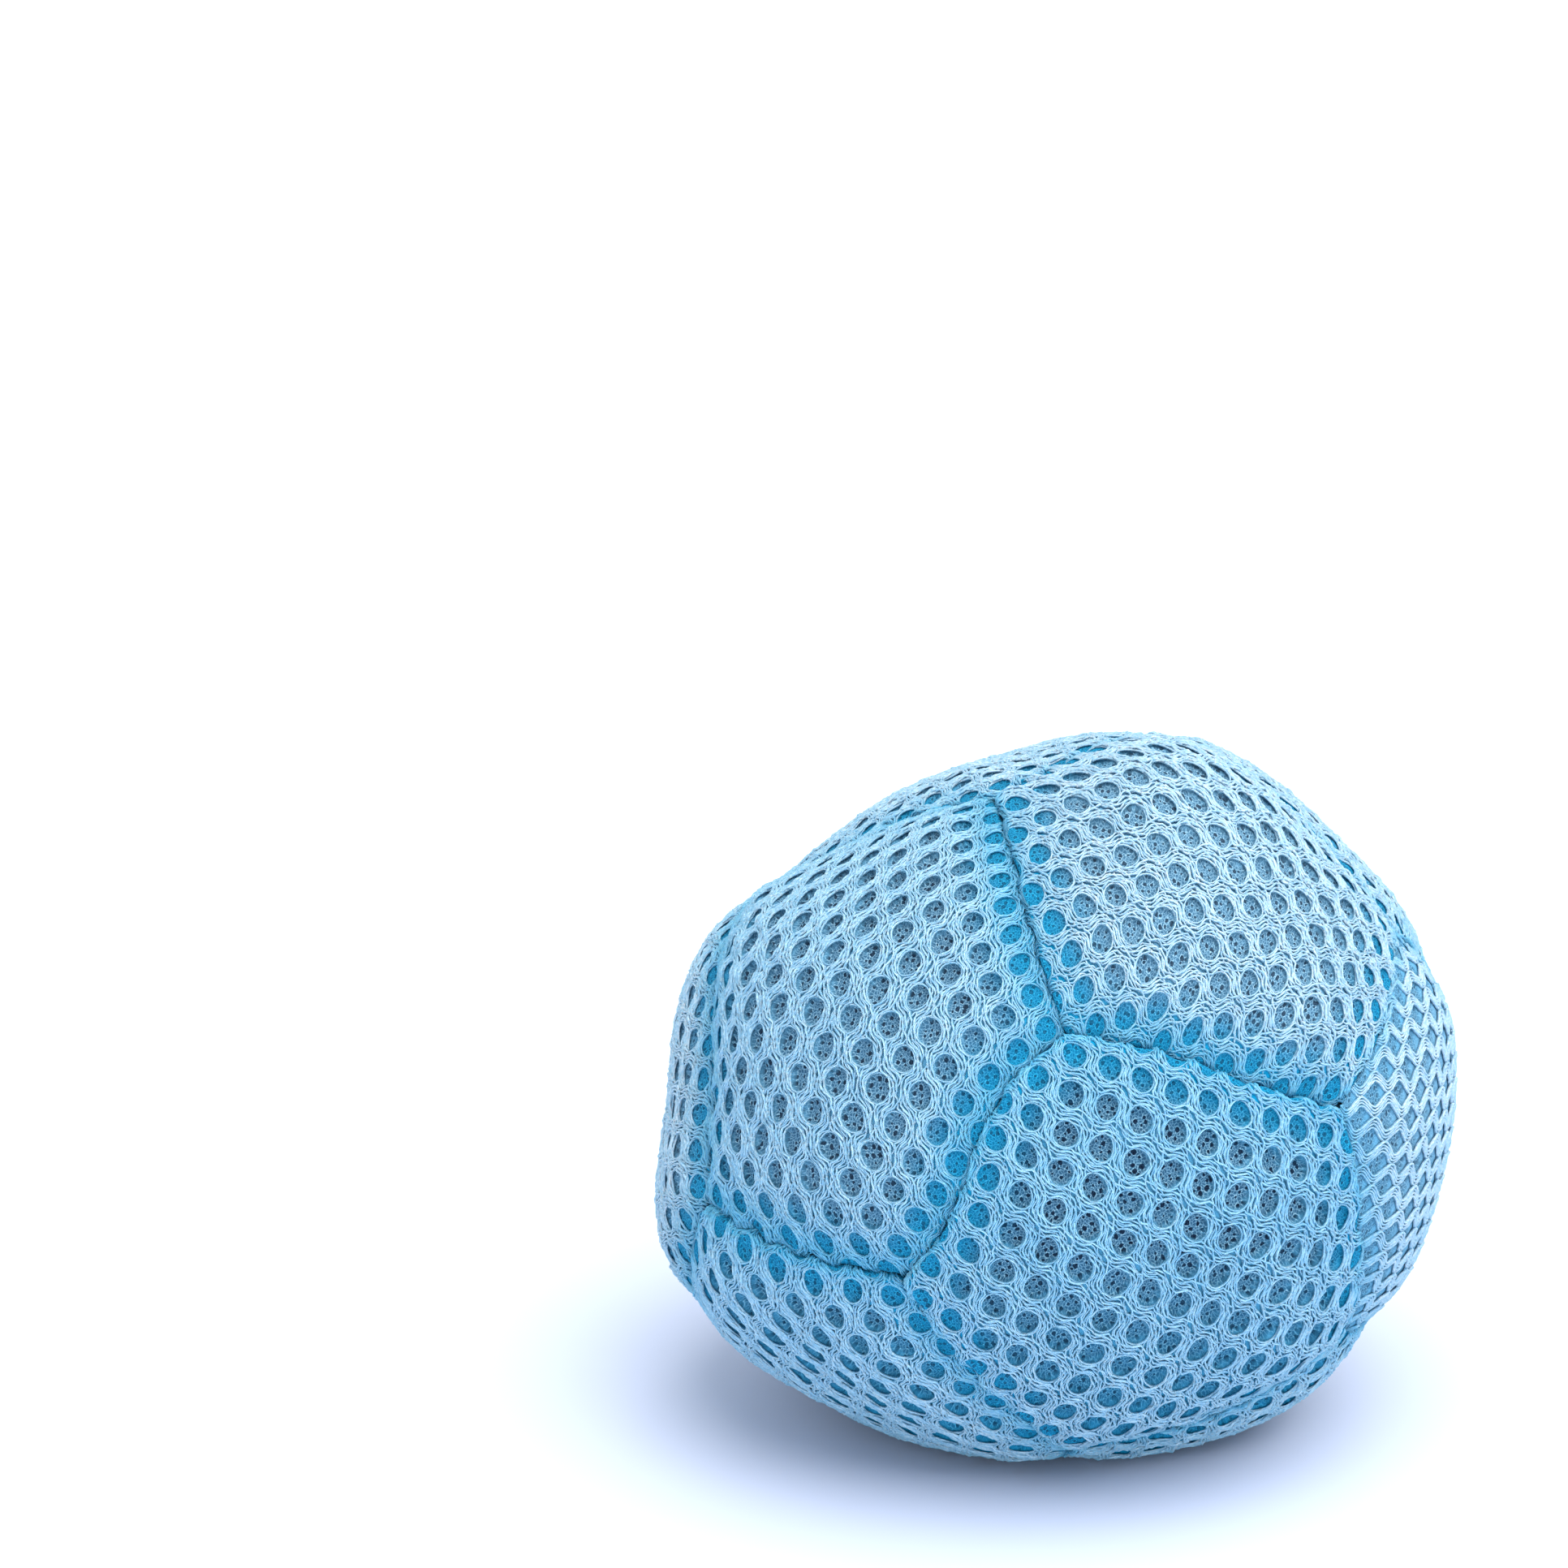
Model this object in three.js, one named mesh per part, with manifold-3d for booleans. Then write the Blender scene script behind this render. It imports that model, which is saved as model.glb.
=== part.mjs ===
// A soft footbag: twelve panels of thick knitted spacer mesh, sewn edge to edge with the seam
// allowance turned inside, and filled with loose pellets so that it sags where it stands.
// Millimetres, +Z up. The origin lies on the resting plane, under the middle of the bag.

import * as THREE from "three";
import { mergeVertices } from "three/addons/utils/BufferGeometryUtils.js";
import Module from "manifold-3d";

const wasm = await Module();
wasm.setup();

// The stuffed body. Its radius swells in two and in three lobes about an axis that points at
// the front and upwards, because the loose filling has run to one side.
const bodyRadius = 28.3;
const restHeight = 24;
const restBend = 1.5;
const ovalSwell = 1.7;
const ovalTurn = THREE.MathUtils.degToRad(17);
const threeLobeSwell = 0.8;
const threeLobeTurn = THREE.MathUtils.degToRad(72);
const swellAxisRise = THREE.MathUtils.degToRad(18);
const panelCrown = 0.7;

// Lumps and hollows round the widest line of the body, seen from the front: where each lies, in
// degrees from the right and upwards, and its height.
const girthLumpReach = THREE.MathUtils.degToRad(13);
const girthLumps = [
  { place: 16, height: 0.7 },
  { place: 43, height: -0.8 },
  { place: 75, height: 1 },
  { place: 95, height: -0.5 },
  { place: 152, height: 1.3 },
  { place: 179, height: -1.2 },
  { place: 205, height: 1.3 },
  { place: 234, height: -0.5 },
  { place: 267, height: 0.6 },
  { place: 348, height: -0.6 },
];

// The fabric, and the way that it turns in at a seam.
const fabricThickness = 2.6;
const foldRadius = 1;
const insideBend = 0.6;
const allowanceThickness = 1.2;
const seamGap = 0.3;

// How far the face of the cloth dips beside a seam, and how far from the seam the dip reaches.
const valleyDepth = 0.5;
const valleyReach = 3.2;

// The sewing.
const threadDiameter = 0.5;
const threadClearance = 0.3;
const holeBelowBend = 0.2;
const allowanceBelowHole = 1.1;
const threadBend = 0.35;
const holesPerSeam = 3;

// The filling.
const fillingClearance = 0.6;

// How finely the soft forms are divided.
const stepsPerEdge = 5;
const foldSteps = 2;
const outerRingShares = [0.3, 0.62, 0.85];
const liningRingShares = [0.35, 0.7];

// Sizes that follow from the ones above.
const needleHole = threadDiameter + 2 * threadClearance;
const stitchDepth = fabricThickness + insideBend + holeBelowBend + needleHole / 2;
const allowanceDepth = stitchDepth + needleHole / 2 + allowanceBelowHole;
const allowanceInside = seamGap / 2 + allowanceThickness;
const threadRun = allowanceInside + threadClearance + threadDiameter / 2;
const fillingFromSeam = threadRun + threadDiameter / 2 + fillingClearance;

// The panels, each with the way that it faces on an upright regular twelve-sided body.
const golden = (1 + Math.sqrt(5)) / 2;
const panelFacings = {
  upper_right: [-golden, -1, 0],
  upper_left: [0, -golden, -1],
  top: [-1, 0, -golden],
  lower_left: [golden, -1, 0],
  back: [0, golden, -1],
  left: [1, 0, -golden],
  upper_back: [-golden, 1, 0],
  front: [0, -golden, 1],
  right: [-1, 0, golden],
  base_back: [golden, 1, 0],
  lower_back: [0, golden, 1],
  base: [1, 0, golden],
};

// How the sewn body is turned, and how far its corners have gathered to one side, as shares of
// the radius along X, Y and Z.
const bodyTurn = new THREE.Euler(
  THREE.MathUtils.degToRad(139),
  THREE.MathUtils.degToRad(50),
  THREE.MathUtils.degToRad(-148),
);
const gatherShares = new THREE.Vector3(0.12, 0.1, -0.07);

// Where hand sewing has let a corner wander, sideways and upwards, as shares of the radius.
const cornerWanderShares = {
  "front+upper_left+upper_right": [-0.03, -0.014],
  "top+upper_left+upper_right": [-0.043, 0.071],
  "front+lower_left+upper_left": [0.014, 0.014],
  "front+right+upper_right": [-0.029, -0.029],
  "right+upper_back+upper_right": [-0.1, 0.029],
  "base+front+right": [0.114, -0.057],
  "base+front+lower_left": [-0.029, -0.114],
  "left+lower_left+upper_left": [0.24, 0.06],
  "left+top+upper_left": [0, 0.03],
  "top+upper_back+upper_right": [0.043, 0.1],
};

// How far the middle of a seam bows, and how far its halves sway, towards its first panel, as
// shares of the radius.
const seamWanderShares = {
  "front+upper_left": { bow: -0.011, sway: 0.032 },
  "front+lower_left": { bow: 0.021, sway: 0 },
  "front+right": { bow: 0.018, sway: 0.007 },
  "front+upper_right": { bow: 0, sway: 0.011 },
  "upper_left+upper_right": { bow: 0.011, sway: 0.004 },
  "left+upper_left": { bow: -0.1, sway: 0 },
  "left+lower_left": { bow: -0.05, sway: 0 },
};

// Where one side of a seam dips more or less than the valley depth, as shares of it.
const valleyShares = {
  "upper_right beside front": 2.4,
  "front beside upper_right": 0.7,
  "upper_left beside upper_right": 1.5,
  "upper_left beside front": 1.7,
  "front beside upper_left": 0.7,
  "lower_left beside upper_left": 0.8,
  "upper_left beside lower_left": 1.6,
  "front beside right": 0.3,
  "right beside front": 1.2,
  "right beside upper_right": 0.5,
  "upper_right beside right": 0.5,
  "lower_left beside front": 1.2,
  "front beside lower_left": 0.4,
  "left beside upper_left": 1.6,
  "upper_left beside left": 1.2,
  "left beside lower_left": 1.4,
  "top beside upper_right": 0.4,
  "upper_right beside top": 0.4,
  "upper_back beside upper_right": 0.4,
  "upper_right beside upper_back": 0.4,
};

const fabric = new THREE.MeshStandardMaterial({ color: 0xa9cfe8, roughness: 0.85, metalness: 0 });
const sewing = new THREE.MeshStandardMaterial({ color: 0x1f8fc4, roughness: 0.6, metalness: 0 });
const pellets = new THREE.MeshStandardMaterial({ color: 0xe6e6e0, roughness: 0.5, metalness: 0 });

// Facings, corners and seams of the sewn body.

function facingOf(name) {
  return new THREE.Vector3(...panelFacings[name]).normalize();
}

const panelNames = Object.keys(panelFacings);
const neighbourAngle = Math.acos(Math.sqrt(1 / 5));
const nearlyNeighbour = Math.cos(1.1 * neighbourAngle);
const panelReach = (bodyRadius * neighbourAngle) / 2;

function areNeighbours(first, second) {
  return first !== second && facingOf(first).dot(facingOf(second)) > nearlyNeighbour;
}

function settle(direction) {
  return direction.normalize().applyEuler(bodyTurn).add(gatherShares).normalize();
}

const up = new THREE.Vector3(0, 0, 1);

function cornerDirection(names) {
  const sum = new THREE.Vector3();
  for (const name of names) sum.add(facingOf(name));
  const corner = settle(sum);
  const wander = cornerWanderShares[names.join("+")];
  if (!wander) return corner;
  const sideways = new THREE.Vector3().crossVectors(up, corner).normalize();
  const upwards = new THREE.Vector3().crossVectors(corner, sideways);
  corner.addScaledVector(sideways, wander[0]).addScaledVector(upwards, wander[1]);
  return corner.normalize();
}

function findCorners() {
  const corners = [];
  const sorted = [...panelNames].sort();
  for (const first of sorted) {
    for (const second of sorted) {
      if (second <= first || !areNeighbours(first, second)) continue;
      for (const third of sorted) {
        if (third <= second || !areNeighbours(first, third) || !areNeighbours(second, third)) continue;
        const names = [first, second, third];
        corners.push({ names, direction: cornerDirection(names) });
      }
    }
  }
  return corners;
}

function findSeams(corners) {
  const seams = [];
  const sorted = [...panelNames].sort();
  for (const first of sorted) {
    for (const second of sorted) {
      if (second <= first || !areNeighbours(first, second)) continue;
      const ends = corners.filter((corner) => corner.names.includes(first) && corner.names.includes(second));
      const [start, finish] = ends.map((corner) => corner.direction);
      const across = new THREE.Vector3().crossVectors(start, finish).normalize();
      const towardsFirst = settle(facingOf(first)).sub(settle(facingOf(second)));
      if (across.dot(towardsFirst) < 0) across.negate();
      const wander = seamWanderShares[`${first}+${second}`] ?? { bow: 0, sway: 0 };
      seams.push({ first, second, start, finish, across, wander, sweep: start.angleTo(finish) });
    }
  }
  return seams;
}

const corners = findCorners();
const seams = findSeams(corners);

// The angle by which a direction lies off a seam, positive towards the seam's first panel.
function angleOffSeam(seam, direction) {
  const flat = direction.clone().projectOnPlane(seam.across);
  const along = new THREE.Vector3().crossVectors(seam.across, seam.start);
  const turnSign = along.dot(seam.finish) < 0 ? -1 : 1;
  const share = Math.atan2(turnSign * flat.dot(along), flat.dot(seam.start)) / seam.sweep;
  const inside = Math.min(Math.max(share, 0), 1);
  const bow = seam.wander.bow * Math.sin(Math.PI * inside);
  const sway = seam.wander.sway * Math.sin(2 * Math.PI * inside);
  return Math.asin(direction.dot(seam.across)) - (bow + sway);
}

function sideOf(seam, panel) {
  return seam.first === panel ? 1 : -1;
}

// Moves a direction until it lies a given angle off a seam, on one panel's side of it.
function moveOffSeam(direction, seam, side, angle) {
  const moved = direction.clone();
  for (let round = 0; round < 4; round += 1) {
    const error = angle - side * angleOffSeam(seam, moved);
    moved.addScaledVector(seam.across, side * error).normalize();
  }
  return moved;
}

// The radius of the stuffed body along a direction, before it is pressed flat underneath.
const swellAxis = new THREE.Vector3(0, -Math.cos(swellAxisRise), Math.sin(swellAxisRise));
const swellUp = new THREE.Vector3(0, Math.sin(swellAxisRise), Math.cos(swellAxisRise));

function turnBetween(turn, other) {
  return THREE.MathUtils.euclideanModulo(turn - other + Math.PI, 2 * Math.PI) - Math.PI;
}

function girthLumpAt(turn) {
  let height = 0;
  for (const lump of girthLumps) {
    const away = turnBetween(turn, THREE.MathUtils.degToRad(lump.place)) / girthLumpReach;
    height += lump.height * Math.exp(-(away ** 2));
  }
  return height;
}

function bodyRadiusAlong(direction) {
  const sine = Math.sqrt(Math.max(0, 1 - direction.dot(swellAxis) ** 2));
  const turn = Math.atan2(direction.dot(swellUp), direction.x);
  const oval = ovalSwell * sine ** 2 * Math.cos(2 * (turn - ovalTurn));
  const threeLobe = threeLobeSwell * sine ** 3 * Math.cos(3 * (turn - threeLobeTurn));
  return bodyRadius + oval + threeLobe + girthLumpAt(turn) * sine ** 4;
}

// Heights below the resting plane come up to it, with a soft bend instead of an edge.
function pressFlat(height) {
  if (height > restBend) return height;
  if (height < -restBend) return 0;
  return (height + restBend) ** 2 / (4 * restBend);
}

// The crown that the filling gives a panel between its seams.
function crownAt(fromSeam) {
  const share = Math.min(Math.max(fromSeam / panelReach, 0), 1);
  return panelCrown * (1 - (1 - share) ** 2);
}

// The point that lies a depth under the bag's skin, along a direction from its middle.
function pointUnderSkin(direction, depth, fromSeam) {
  const radius = bodyRadiusAlong(direction) + crownAt(fromSeam) - depth;
  const point = direction.clone().multiplyScalar(radius);
  point.z = pressFlat(point.z + restHeight - depth) + depth;
  return point;
}

// A panel's outline: its corners and seams in order, anticlockwise seen from outside.
function panelOutline(panel) {
  const middle = new THREE.Vector3();
  const own = corners.filter((corner) => corner.names.includes(panel));
  for (const corner of own) middle.add(corner.direction);
  middle.normalize();
  const east = new THREE.Vector3().crossVectors(up, middle).normalize();
  const north = new THREE.Vector3().crossVectors(middle, east);
  const bearing = (corner) => Math.atan2(corner.direction.dot(north), corner.direction.dot(east));
  own.sort((first, second) => bearing(first) - bearing(second));
  const edges = own.map((corner, index) => {
    const next = own[(index + 1) % own.length];
    return seams.find(
      (seam) =>
        (seam.first === panel || seam.second === panel) &&
        [seam.start, seam.finish].includes(corner.direction) &&
        [seam.start, seam.finish].includes(next.direction),
    );
  });
  return { middle, directions: own.map((corner) => corner.direction), edges };
}

// A corner drawn inwards until it lies the same angle off both of its seams.
function insetCorner(corner, before, beforeSide, after, afterSide, angle) {
  const moved = corner.clone();
  const beforeAcross = before.across.clone().multiplyScalar(beforeSide);
  const afterAcross = after.across.clone().multiplyScalar(afterSide);
  const overlap = beforeAcross.dot(afterAcross);
  const scale = 1 - overlap ** 2;
  for (let round = 0; round < 6; round += 1) {
    const beforeError = angle - beforeSide * angleOffSeam(before, moved);
    const afterError = angle - afterSide * angleOffSeam(after, moved);
    moved.addScaledVector(beforeAcross, (beforeError - overlap * afterError) / scale);
    moved.addScaledVector(afterAcross, (afterError - overlap * beforeError) / scale);
    moved.normalize();
  }
  return moved;
}

// The directions of a ring that runs round a panel, a given distance inside its seams, each with
// the seams that it lies beside.
function ringDirections(panel, outline, fromSeam, depth) {
  const angle = fromSeam / (bodyRadius - depth);
  const count = outline.edges.length;
  const insets = outline.directions.map((corner, index) => {
    const before = outline.edges[(index + count - 1) % count];
    const after = outline.edges[index];
    return insetCorner(corner, before, sideOf(before, panel), after, sideOf(after, panel), angle);
  });
  const ring = [];
  for (let index = 0; index < count; index += 1) {
    const edge = outline.edges[index];
    for (let step = 0; step < stepsPerEdge; step += 1) {
      const between = insets[index].clone().lerp(insets[(index + 1) % count], step / stepsPerEdge).normalize();
      if (step === 0) {
        ring.push({ direction: insets[index], beside: [outline.edges[(index + count - 1) % count], edge] });
      } else {
        ring.push({ direction: moveOffSeam(between, edge, sideOf(edge, panel), angle), beside: [edge] });
      }
    }
  }
  return ring;
}

function seamRing(panel, outline, fromSeam, depth) {
  return ringDirections(panel, outline, fromSeam, depth).map(({ direction }) =>
    pointUnderSkin(direction, depth, fromSeam),
  );
}

// How far the face of a panel dips beside one seam, or evenly between two at a corner.
function dipBeside(panel, beside, fromSeam) {
  let share = 0;
  for (const seam of beside) {
    const other = seam.first === panel ? seam.second : seam.first;
    share += (valleyShares[`${panel} beside ${other}`] ?? 1) / beside.length;
  }
  return valleyDepth * share * Math.exp(-((fromSeam / valleyReach) ** 2));
}

// A ring of the dipping face, round the fold at the seams.
function faceRing(panel, outline, fromSeam, drop) {
  return ringDirections(panel, outline, fromSeam, drop).map(({ direction, beside }) =>
    pointUnderSkin(direction, drop + dipBeside(panel, beside, fromSeam), fromSeam),
  );
}

// A ring that lies a share of the way from the middle of a panel to the ring at its seams.
function innerRing(panel, outline, share, edgeFromSeam, depth, dips = false) {
  return ringDirections(panel, outline, edgeFromSeam, depth).map(({ direction, beside }) => {
    const between = outline.middle.clone().lerp(direction, share).normalize();
    const fromSeam = edgeFromSeam + (1 - share) * (panelReach - edgeFromSeam);
    const dip = dips ? dipBeside(panel, beside, fromSeam) : 0;
    return pointUnderSkin(between, depth + dip, fromSeam);
  });
}

// Triangles over a run of rings, from a closing point at one end to another, or to an open rim.
function skinRings(rings, firstPoint, lastPoint) {
  const positions = [];
  const triangle = (a, b, c) => positions.push(...a.toArray(), ...b.toArray(), ...c.toArray());
  const around = rings[0].length;
  for (let index = 0; index < around; index += 1) {
    const next = (index + 1) % around;
    triangle(firstPoint, rings[0][index], rings[0][next]);
    for (let row = 0; row + 1 < rings.length; row += 1) {
      const near = rings[row];
      const far = rings[row + 1];
      triangle(near[index], far[index], far[next]);
      triangle(near[index], far[next], near[next]);
    }
    if (lastPoint) {
      const last = rings[rings.length - 1];
      triangle(last[index], lastPoint, last[next]);
    }
  }
  return positions;
}

function geometryFrom(positions) {
  const loose = new THREE.BufferGeometry();
  loose.setAttribute("position", new THREE.Float32BufferAttribute(positions, 3));
  return mergeVertices(loose);
}

// Boolean cuts.

function toSolid(geometry) {
  const bare = geometry.clone();
  bare.deleteAttribute("normal");
  bare.deleteAttribute("uv");
  const merged = mergeVertices(bare);
  return new wasm.Manifold(
    new wasm.Mesh({
      numProp: 3,
      vertProperties: new Float32Array(merged.attributes.position.array),
      triVerts: new Uint32Array(merged.index.array),
    }),
  );
}

function toGeometry(solid) {
  const mesh = solid.getMesh();
  const geometry = new THREE.BufferGeometry();
  geometry.setAttribute("position", new THREE.BufferAttribute(new Float32Array(mesh.vertProperties), 3));
  geometry.setIndex(new THREE.BufferAttribute(new Uint32Array(mesh.triVerts), 1));
  return geometry;
}

// A place beside a seam: a share of the way along it, off to one side, at a depth.
function placeBySeam(seam, share, offSeam, depth) {
  const along = seam.start.clone().lerp(seam.finish, share).normalize();
  const direction = moveOffSeam(along, seam, 1, offSeam / (bodyRadius - depth));
  return pointUnderSkin(direction, depth, Math.abs(offSeam));
}

// The shares of a seam's length at which the needle has gone through.
function stitchShares() {
  return Array.from({ length: holesPerSeam }, (_, hole) => (hole + 0.5) / holesPerSeam);
}

// One needle hole through both turned-in edges of a seam.
function needleCutter(seam, share) {
  const near = placeBySeam(seam, share, -threadRun, stitchDepth);
  const far = placeBySeam(seam, share, threadRun, stitchDepth);
  const inwards = placeBySeam(seam, share, 0, allowanceDepth);
  const outwards = placeBySeam(seam, share, 0, stitchDepth);
  const bore = new THREE.BoxGeometry(needleHole, needleHole, near.distanceTo(far));
  const through = far.clone().sub(near).normalize();
  const deeper = inwards.sub(outwards);
  const beside = new THREE.Vector3().crossVectors(through, deeper).normalize();
  const level = new THREE.Vector3().crossVectors(through, beside);
  const place = new THREE.Matrix4().makeBasis(beside, level, through);
  place.setPosition(near.add(far).divideScalar(2));
  bore.applyMatrix4(place);
  return toSolid(bore);
}

// The panels.

function panelSkin(panel) {
  const outline = panelOutline(panel);
  const half = seamGap / 2;
  const rings = [];
  for (const share of outerRingShares) {
    rings.push(innerRing(panel, outline, share, half + foldRadius, 0, true));
  }
  for (let step = 0; step <= foldSteps; step += 1) {
    const turn = ((1 - step / foldSteps) * Math.PI) / 2;
    const across = foldRadius * (1 - Math.cos(turn));
    const drop = foldRadius * (1 - Math.sin(turn));
    rings.push(faceRing(panel, outline, half + across, drop));
  }
  const liningFromSeam = allowanceInside + insideBend;
  rings.push(seamRing(panel, outline, half, allowanceDepth));
  rings.push(seamRing(panel, outline, allowanceInside, allowanceDepth));
  rings.push(seamRing(panel, outline, allowanceInside, fabricThickness + insideBend));
  rings.push(seamRing(panel, outline, liningFromSeam, fabricThickness));
  for (const share of [...liningRingShares].reverse()) {
    rings.push(innerRing(panel, outline, share, liningFromSeam, fabricThickness));
  }
  const outside = pointUnderSkin(outline.middle, 0, panelReach);
  const inside = pointUnderSkin(outline.middle, fabricThickness, panelReach);
  return geometryFrom(skinRings(rings, outside, inside));
}

function makePanel(panel) {
  let solid = toSolid(panelSkin(panel));
  for (const seam of seams) {
    if (seam.first !== panel && seam.second !== panel) continue;
    for (const share of stitchShares()) solid = solid.subtract(needleCutter(seam, share));
  }
  const mesh = new THREE.Mesh(toGeometry(solid), fabric);
  mesh.name = `panel_${panel}`;
  return mesh;
}

// The sewing thread of one seam: a running stitch that changes sides at every hole.

class ThreadPath extends THREE.Curve {
  constructor(points) {
    super();
    this.points = points;
  }

  getPoint(share, target = new THREE.Vector3()) {
    const place = share * (this.points.length - 1);
    const index = Math.min(Math.floor(place), this.points.length - 2);
    return target.lerpVectors(this.points[index], this.points[index + 1], place - index);
  }

  getPointAt(share, target) {
    return this.getPoint(share, target);
  }

  getTangentAt(share, target = new THREE.Vector3()) {
    const index = Math.round(share * (this.points.length - 1));
    const before = this.points[Math.max(index - 1, 0)];
    const here = this.points[index];
    const after = this.points[Math.min(index + 1, this.points.length - 1)];
    const arriving = here.clone().sub(before).normalize();
    const leaving = after.clone().sub(here).normalize();
    return target.copy(arriving).add(leaving).normalize();
  }
}

function threadPoints(seam) {
  const turns = [];
  stitchShares().forEach((share, hole) => {
    const side = hole % 2 === 0 ? -1 : 1;
    turns.push(placeBySeam(seam, share, side * threadRun, stitchDepth));
    turns.push(placeBySeam(seam, share, -side * threadRun, stitchDepth));
  });
  const points = [];
  turns.forEach((turn, index) => {
    const before = turns[index - 1];
    const after = turns[index + 1];
    if (!before || !after) {
      points.push(turn);
      return;
    }
    points.push(turn.clone().add(before.clone().sub(turn).setLength(threadBend)));
    points.push(turn.clone().add(after.clone().sub(turn).setLength(threadBend)));
  });
  return points;
}

function makeThread(seam) {
  const points = threadPoints(seam);
  const section = new THREE.Shape();
  const sides = 4;
  for (let side = 0; side < sides; side += 1) {
    const turn = (2 * Math.PI * side) / sides;
    const x = (threadDiameter / 2) * Math.cos(turn);
    const y = (threadDiameter / 2) * Math.sin(turn);
    if (side === 0) section.moveTo(x, y);
    else section.lineTo(x, y);
  }
  section.closePath();
  const tube = new THREE.ExtrudeGeometry(section, {
    steps: points.length - 1,
    bevelEnabled: false,
    extrudePath: new ThreadPath(points),
  });
  tube.deleteAttribute("normal");
  tube.deleteAttribute("uv");
  const mesh = new THREE.Mesh(mergeVertices(tube), sewing);
  mesh.name = `seam_thread_${seam.first}_to_${seam.second}`;
  return mesh;
}

// The loose pellets, as the one lobed mass that they make inside the panels.

function makeFilling() {
  const positions = [];
  const top = fabricThickness + fillingClearance;
  const bottom = allowanceDepth + fillingClearance;
  for (const panel of panelNames) {
    const outline = panelOutline(panel);
    const rings = [];
    for (const share of liningRingShares) rings.push(innerRing(panel, outline, share, fillingFromSeam, top));
    rings.push(seamRing(panel, outline, fillingFromSeam, top));
    rings.push(seamRing(panel, outline, fillingFromSeam, bottom));
    rings.push(seamRing(panel, outline, 0, bottom));
    positions.push(...skinRings(rings, pointUnderSkin(outline.middle, top, panelReach)));
  }
  const mesh = new THREE.Mesh(geometryFrom(positions), pellets);
  mesh.name = "pellet_filling";
  return mesh;
}

const footbag = new THREE.Group();
footbag.add(...panelNames.map(makePanel));
footbag.add(...seams.map(makeThread));
footbag.add(makeFilling());

// The bag stands with the middle of its box over the origin.
const middle = new THREE.Box3().setFromObject(footbag).getCenter(new THREE.Vector3());
footbag.position.set(-middle.x, -middle.y, 0);

export default footbag;
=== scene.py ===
import math
from itertools import combinations

import bpy
import numpy as np
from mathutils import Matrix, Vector


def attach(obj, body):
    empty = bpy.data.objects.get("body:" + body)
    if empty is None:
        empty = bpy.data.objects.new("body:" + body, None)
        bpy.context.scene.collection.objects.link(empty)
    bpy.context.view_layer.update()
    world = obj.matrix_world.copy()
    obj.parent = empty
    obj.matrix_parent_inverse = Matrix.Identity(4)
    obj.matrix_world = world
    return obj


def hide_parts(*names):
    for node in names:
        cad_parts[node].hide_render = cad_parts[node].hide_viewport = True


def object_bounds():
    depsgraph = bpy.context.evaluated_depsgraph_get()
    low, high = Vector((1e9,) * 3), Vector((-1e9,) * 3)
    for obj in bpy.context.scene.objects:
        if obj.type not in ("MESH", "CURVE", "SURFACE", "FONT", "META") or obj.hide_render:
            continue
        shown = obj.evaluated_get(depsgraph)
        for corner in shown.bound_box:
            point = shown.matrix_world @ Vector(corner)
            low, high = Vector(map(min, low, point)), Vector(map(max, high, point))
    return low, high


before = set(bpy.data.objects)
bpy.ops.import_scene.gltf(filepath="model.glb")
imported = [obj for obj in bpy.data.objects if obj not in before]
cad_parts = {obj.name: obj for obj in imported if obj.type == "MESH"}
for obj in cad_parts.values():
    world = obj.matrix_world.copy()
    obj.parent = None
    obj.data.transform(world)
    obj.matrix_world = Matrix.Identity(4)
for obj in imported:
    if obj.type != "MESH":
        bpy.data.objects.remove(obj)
solid_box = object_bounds()
bpy.ops.object.select_all(action="DESELECT")

mm = 0.001

# The stuffed body, as in the part's source
body_radius = 28.3 * mm
rest_height = 24 * mm
rest_bend = 1.5 * mm
oval_swell = 1.7 * mm
oval_turn = math.radians(17)
three_lobe_swell = 0.8 * mm
three_lobe_turn = math.radians(72)
swell_axis_rise = math.radians(18)
girth_lump_reach = math.radians(13)
girth_lumps = [
    (16, 0.7 * mm),
    (43, -0.8 * mm),
    (75, 1.0 * mm),
    (95, -0.5 * mm),
    (152, 1.3 * mm),
    (179, -1.2 * mm),
    (205, 1.3 * mm),
    (234, -0.5 * mm),
    (267, 0.6 * mm),
    (348, -0.6 * mm),
]
panel_crown = 0.7 * mm
fabric_thickness = 2.6 * mm
allowance_thickness = 1.2 * mm
allowance_depth = 5.6 * mm

# The fold of the cloth into its seams, and the seams where it is tighter
fold_radius = 0.45 * mm
seam_fold_shares = {
    "front+right": 0.6,
    "front+lower_left": 0.7,
    "base+front": 0.8,
    "right+upper_right": 0.6,
}

# How far the cloth dips towards its seams, and the sides of a seam that dip more or less
valley_depth = 0.5 * mm
valley_reach = 3.2 * mm
valley_shares = {
    "upper_right beside front": 2.4,
    "front beside upper_right": 0.7,
    "upper_left beside upper_right": 1.5,
    "upper_left beside front": 1.7,
    "front beside upper_left": 0.7,
    "lower_left beside upper_left": 0.8,
    "upper_left beside lower_left": 1.6,
    "front beside right": 0.3,
    "right beside front": 1.2,
    "right beside upper_right": 0.5,
    "upper_right beside right": 0.5,
    "lower_left beside front": 1.2,
    "front beside lower_left": 0.4,
    "left beside upper_left": 1.6,
    "upper_left beside left": 1.2,
    "left beside lower_left": 1.4,
    "top beside upper_right": 0.4,
    "upper_right beside top": 0.4,
    "upper_back beside upper_right": 0.4,
    "upper_right beside upper_back": 0.4,
}

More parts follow.
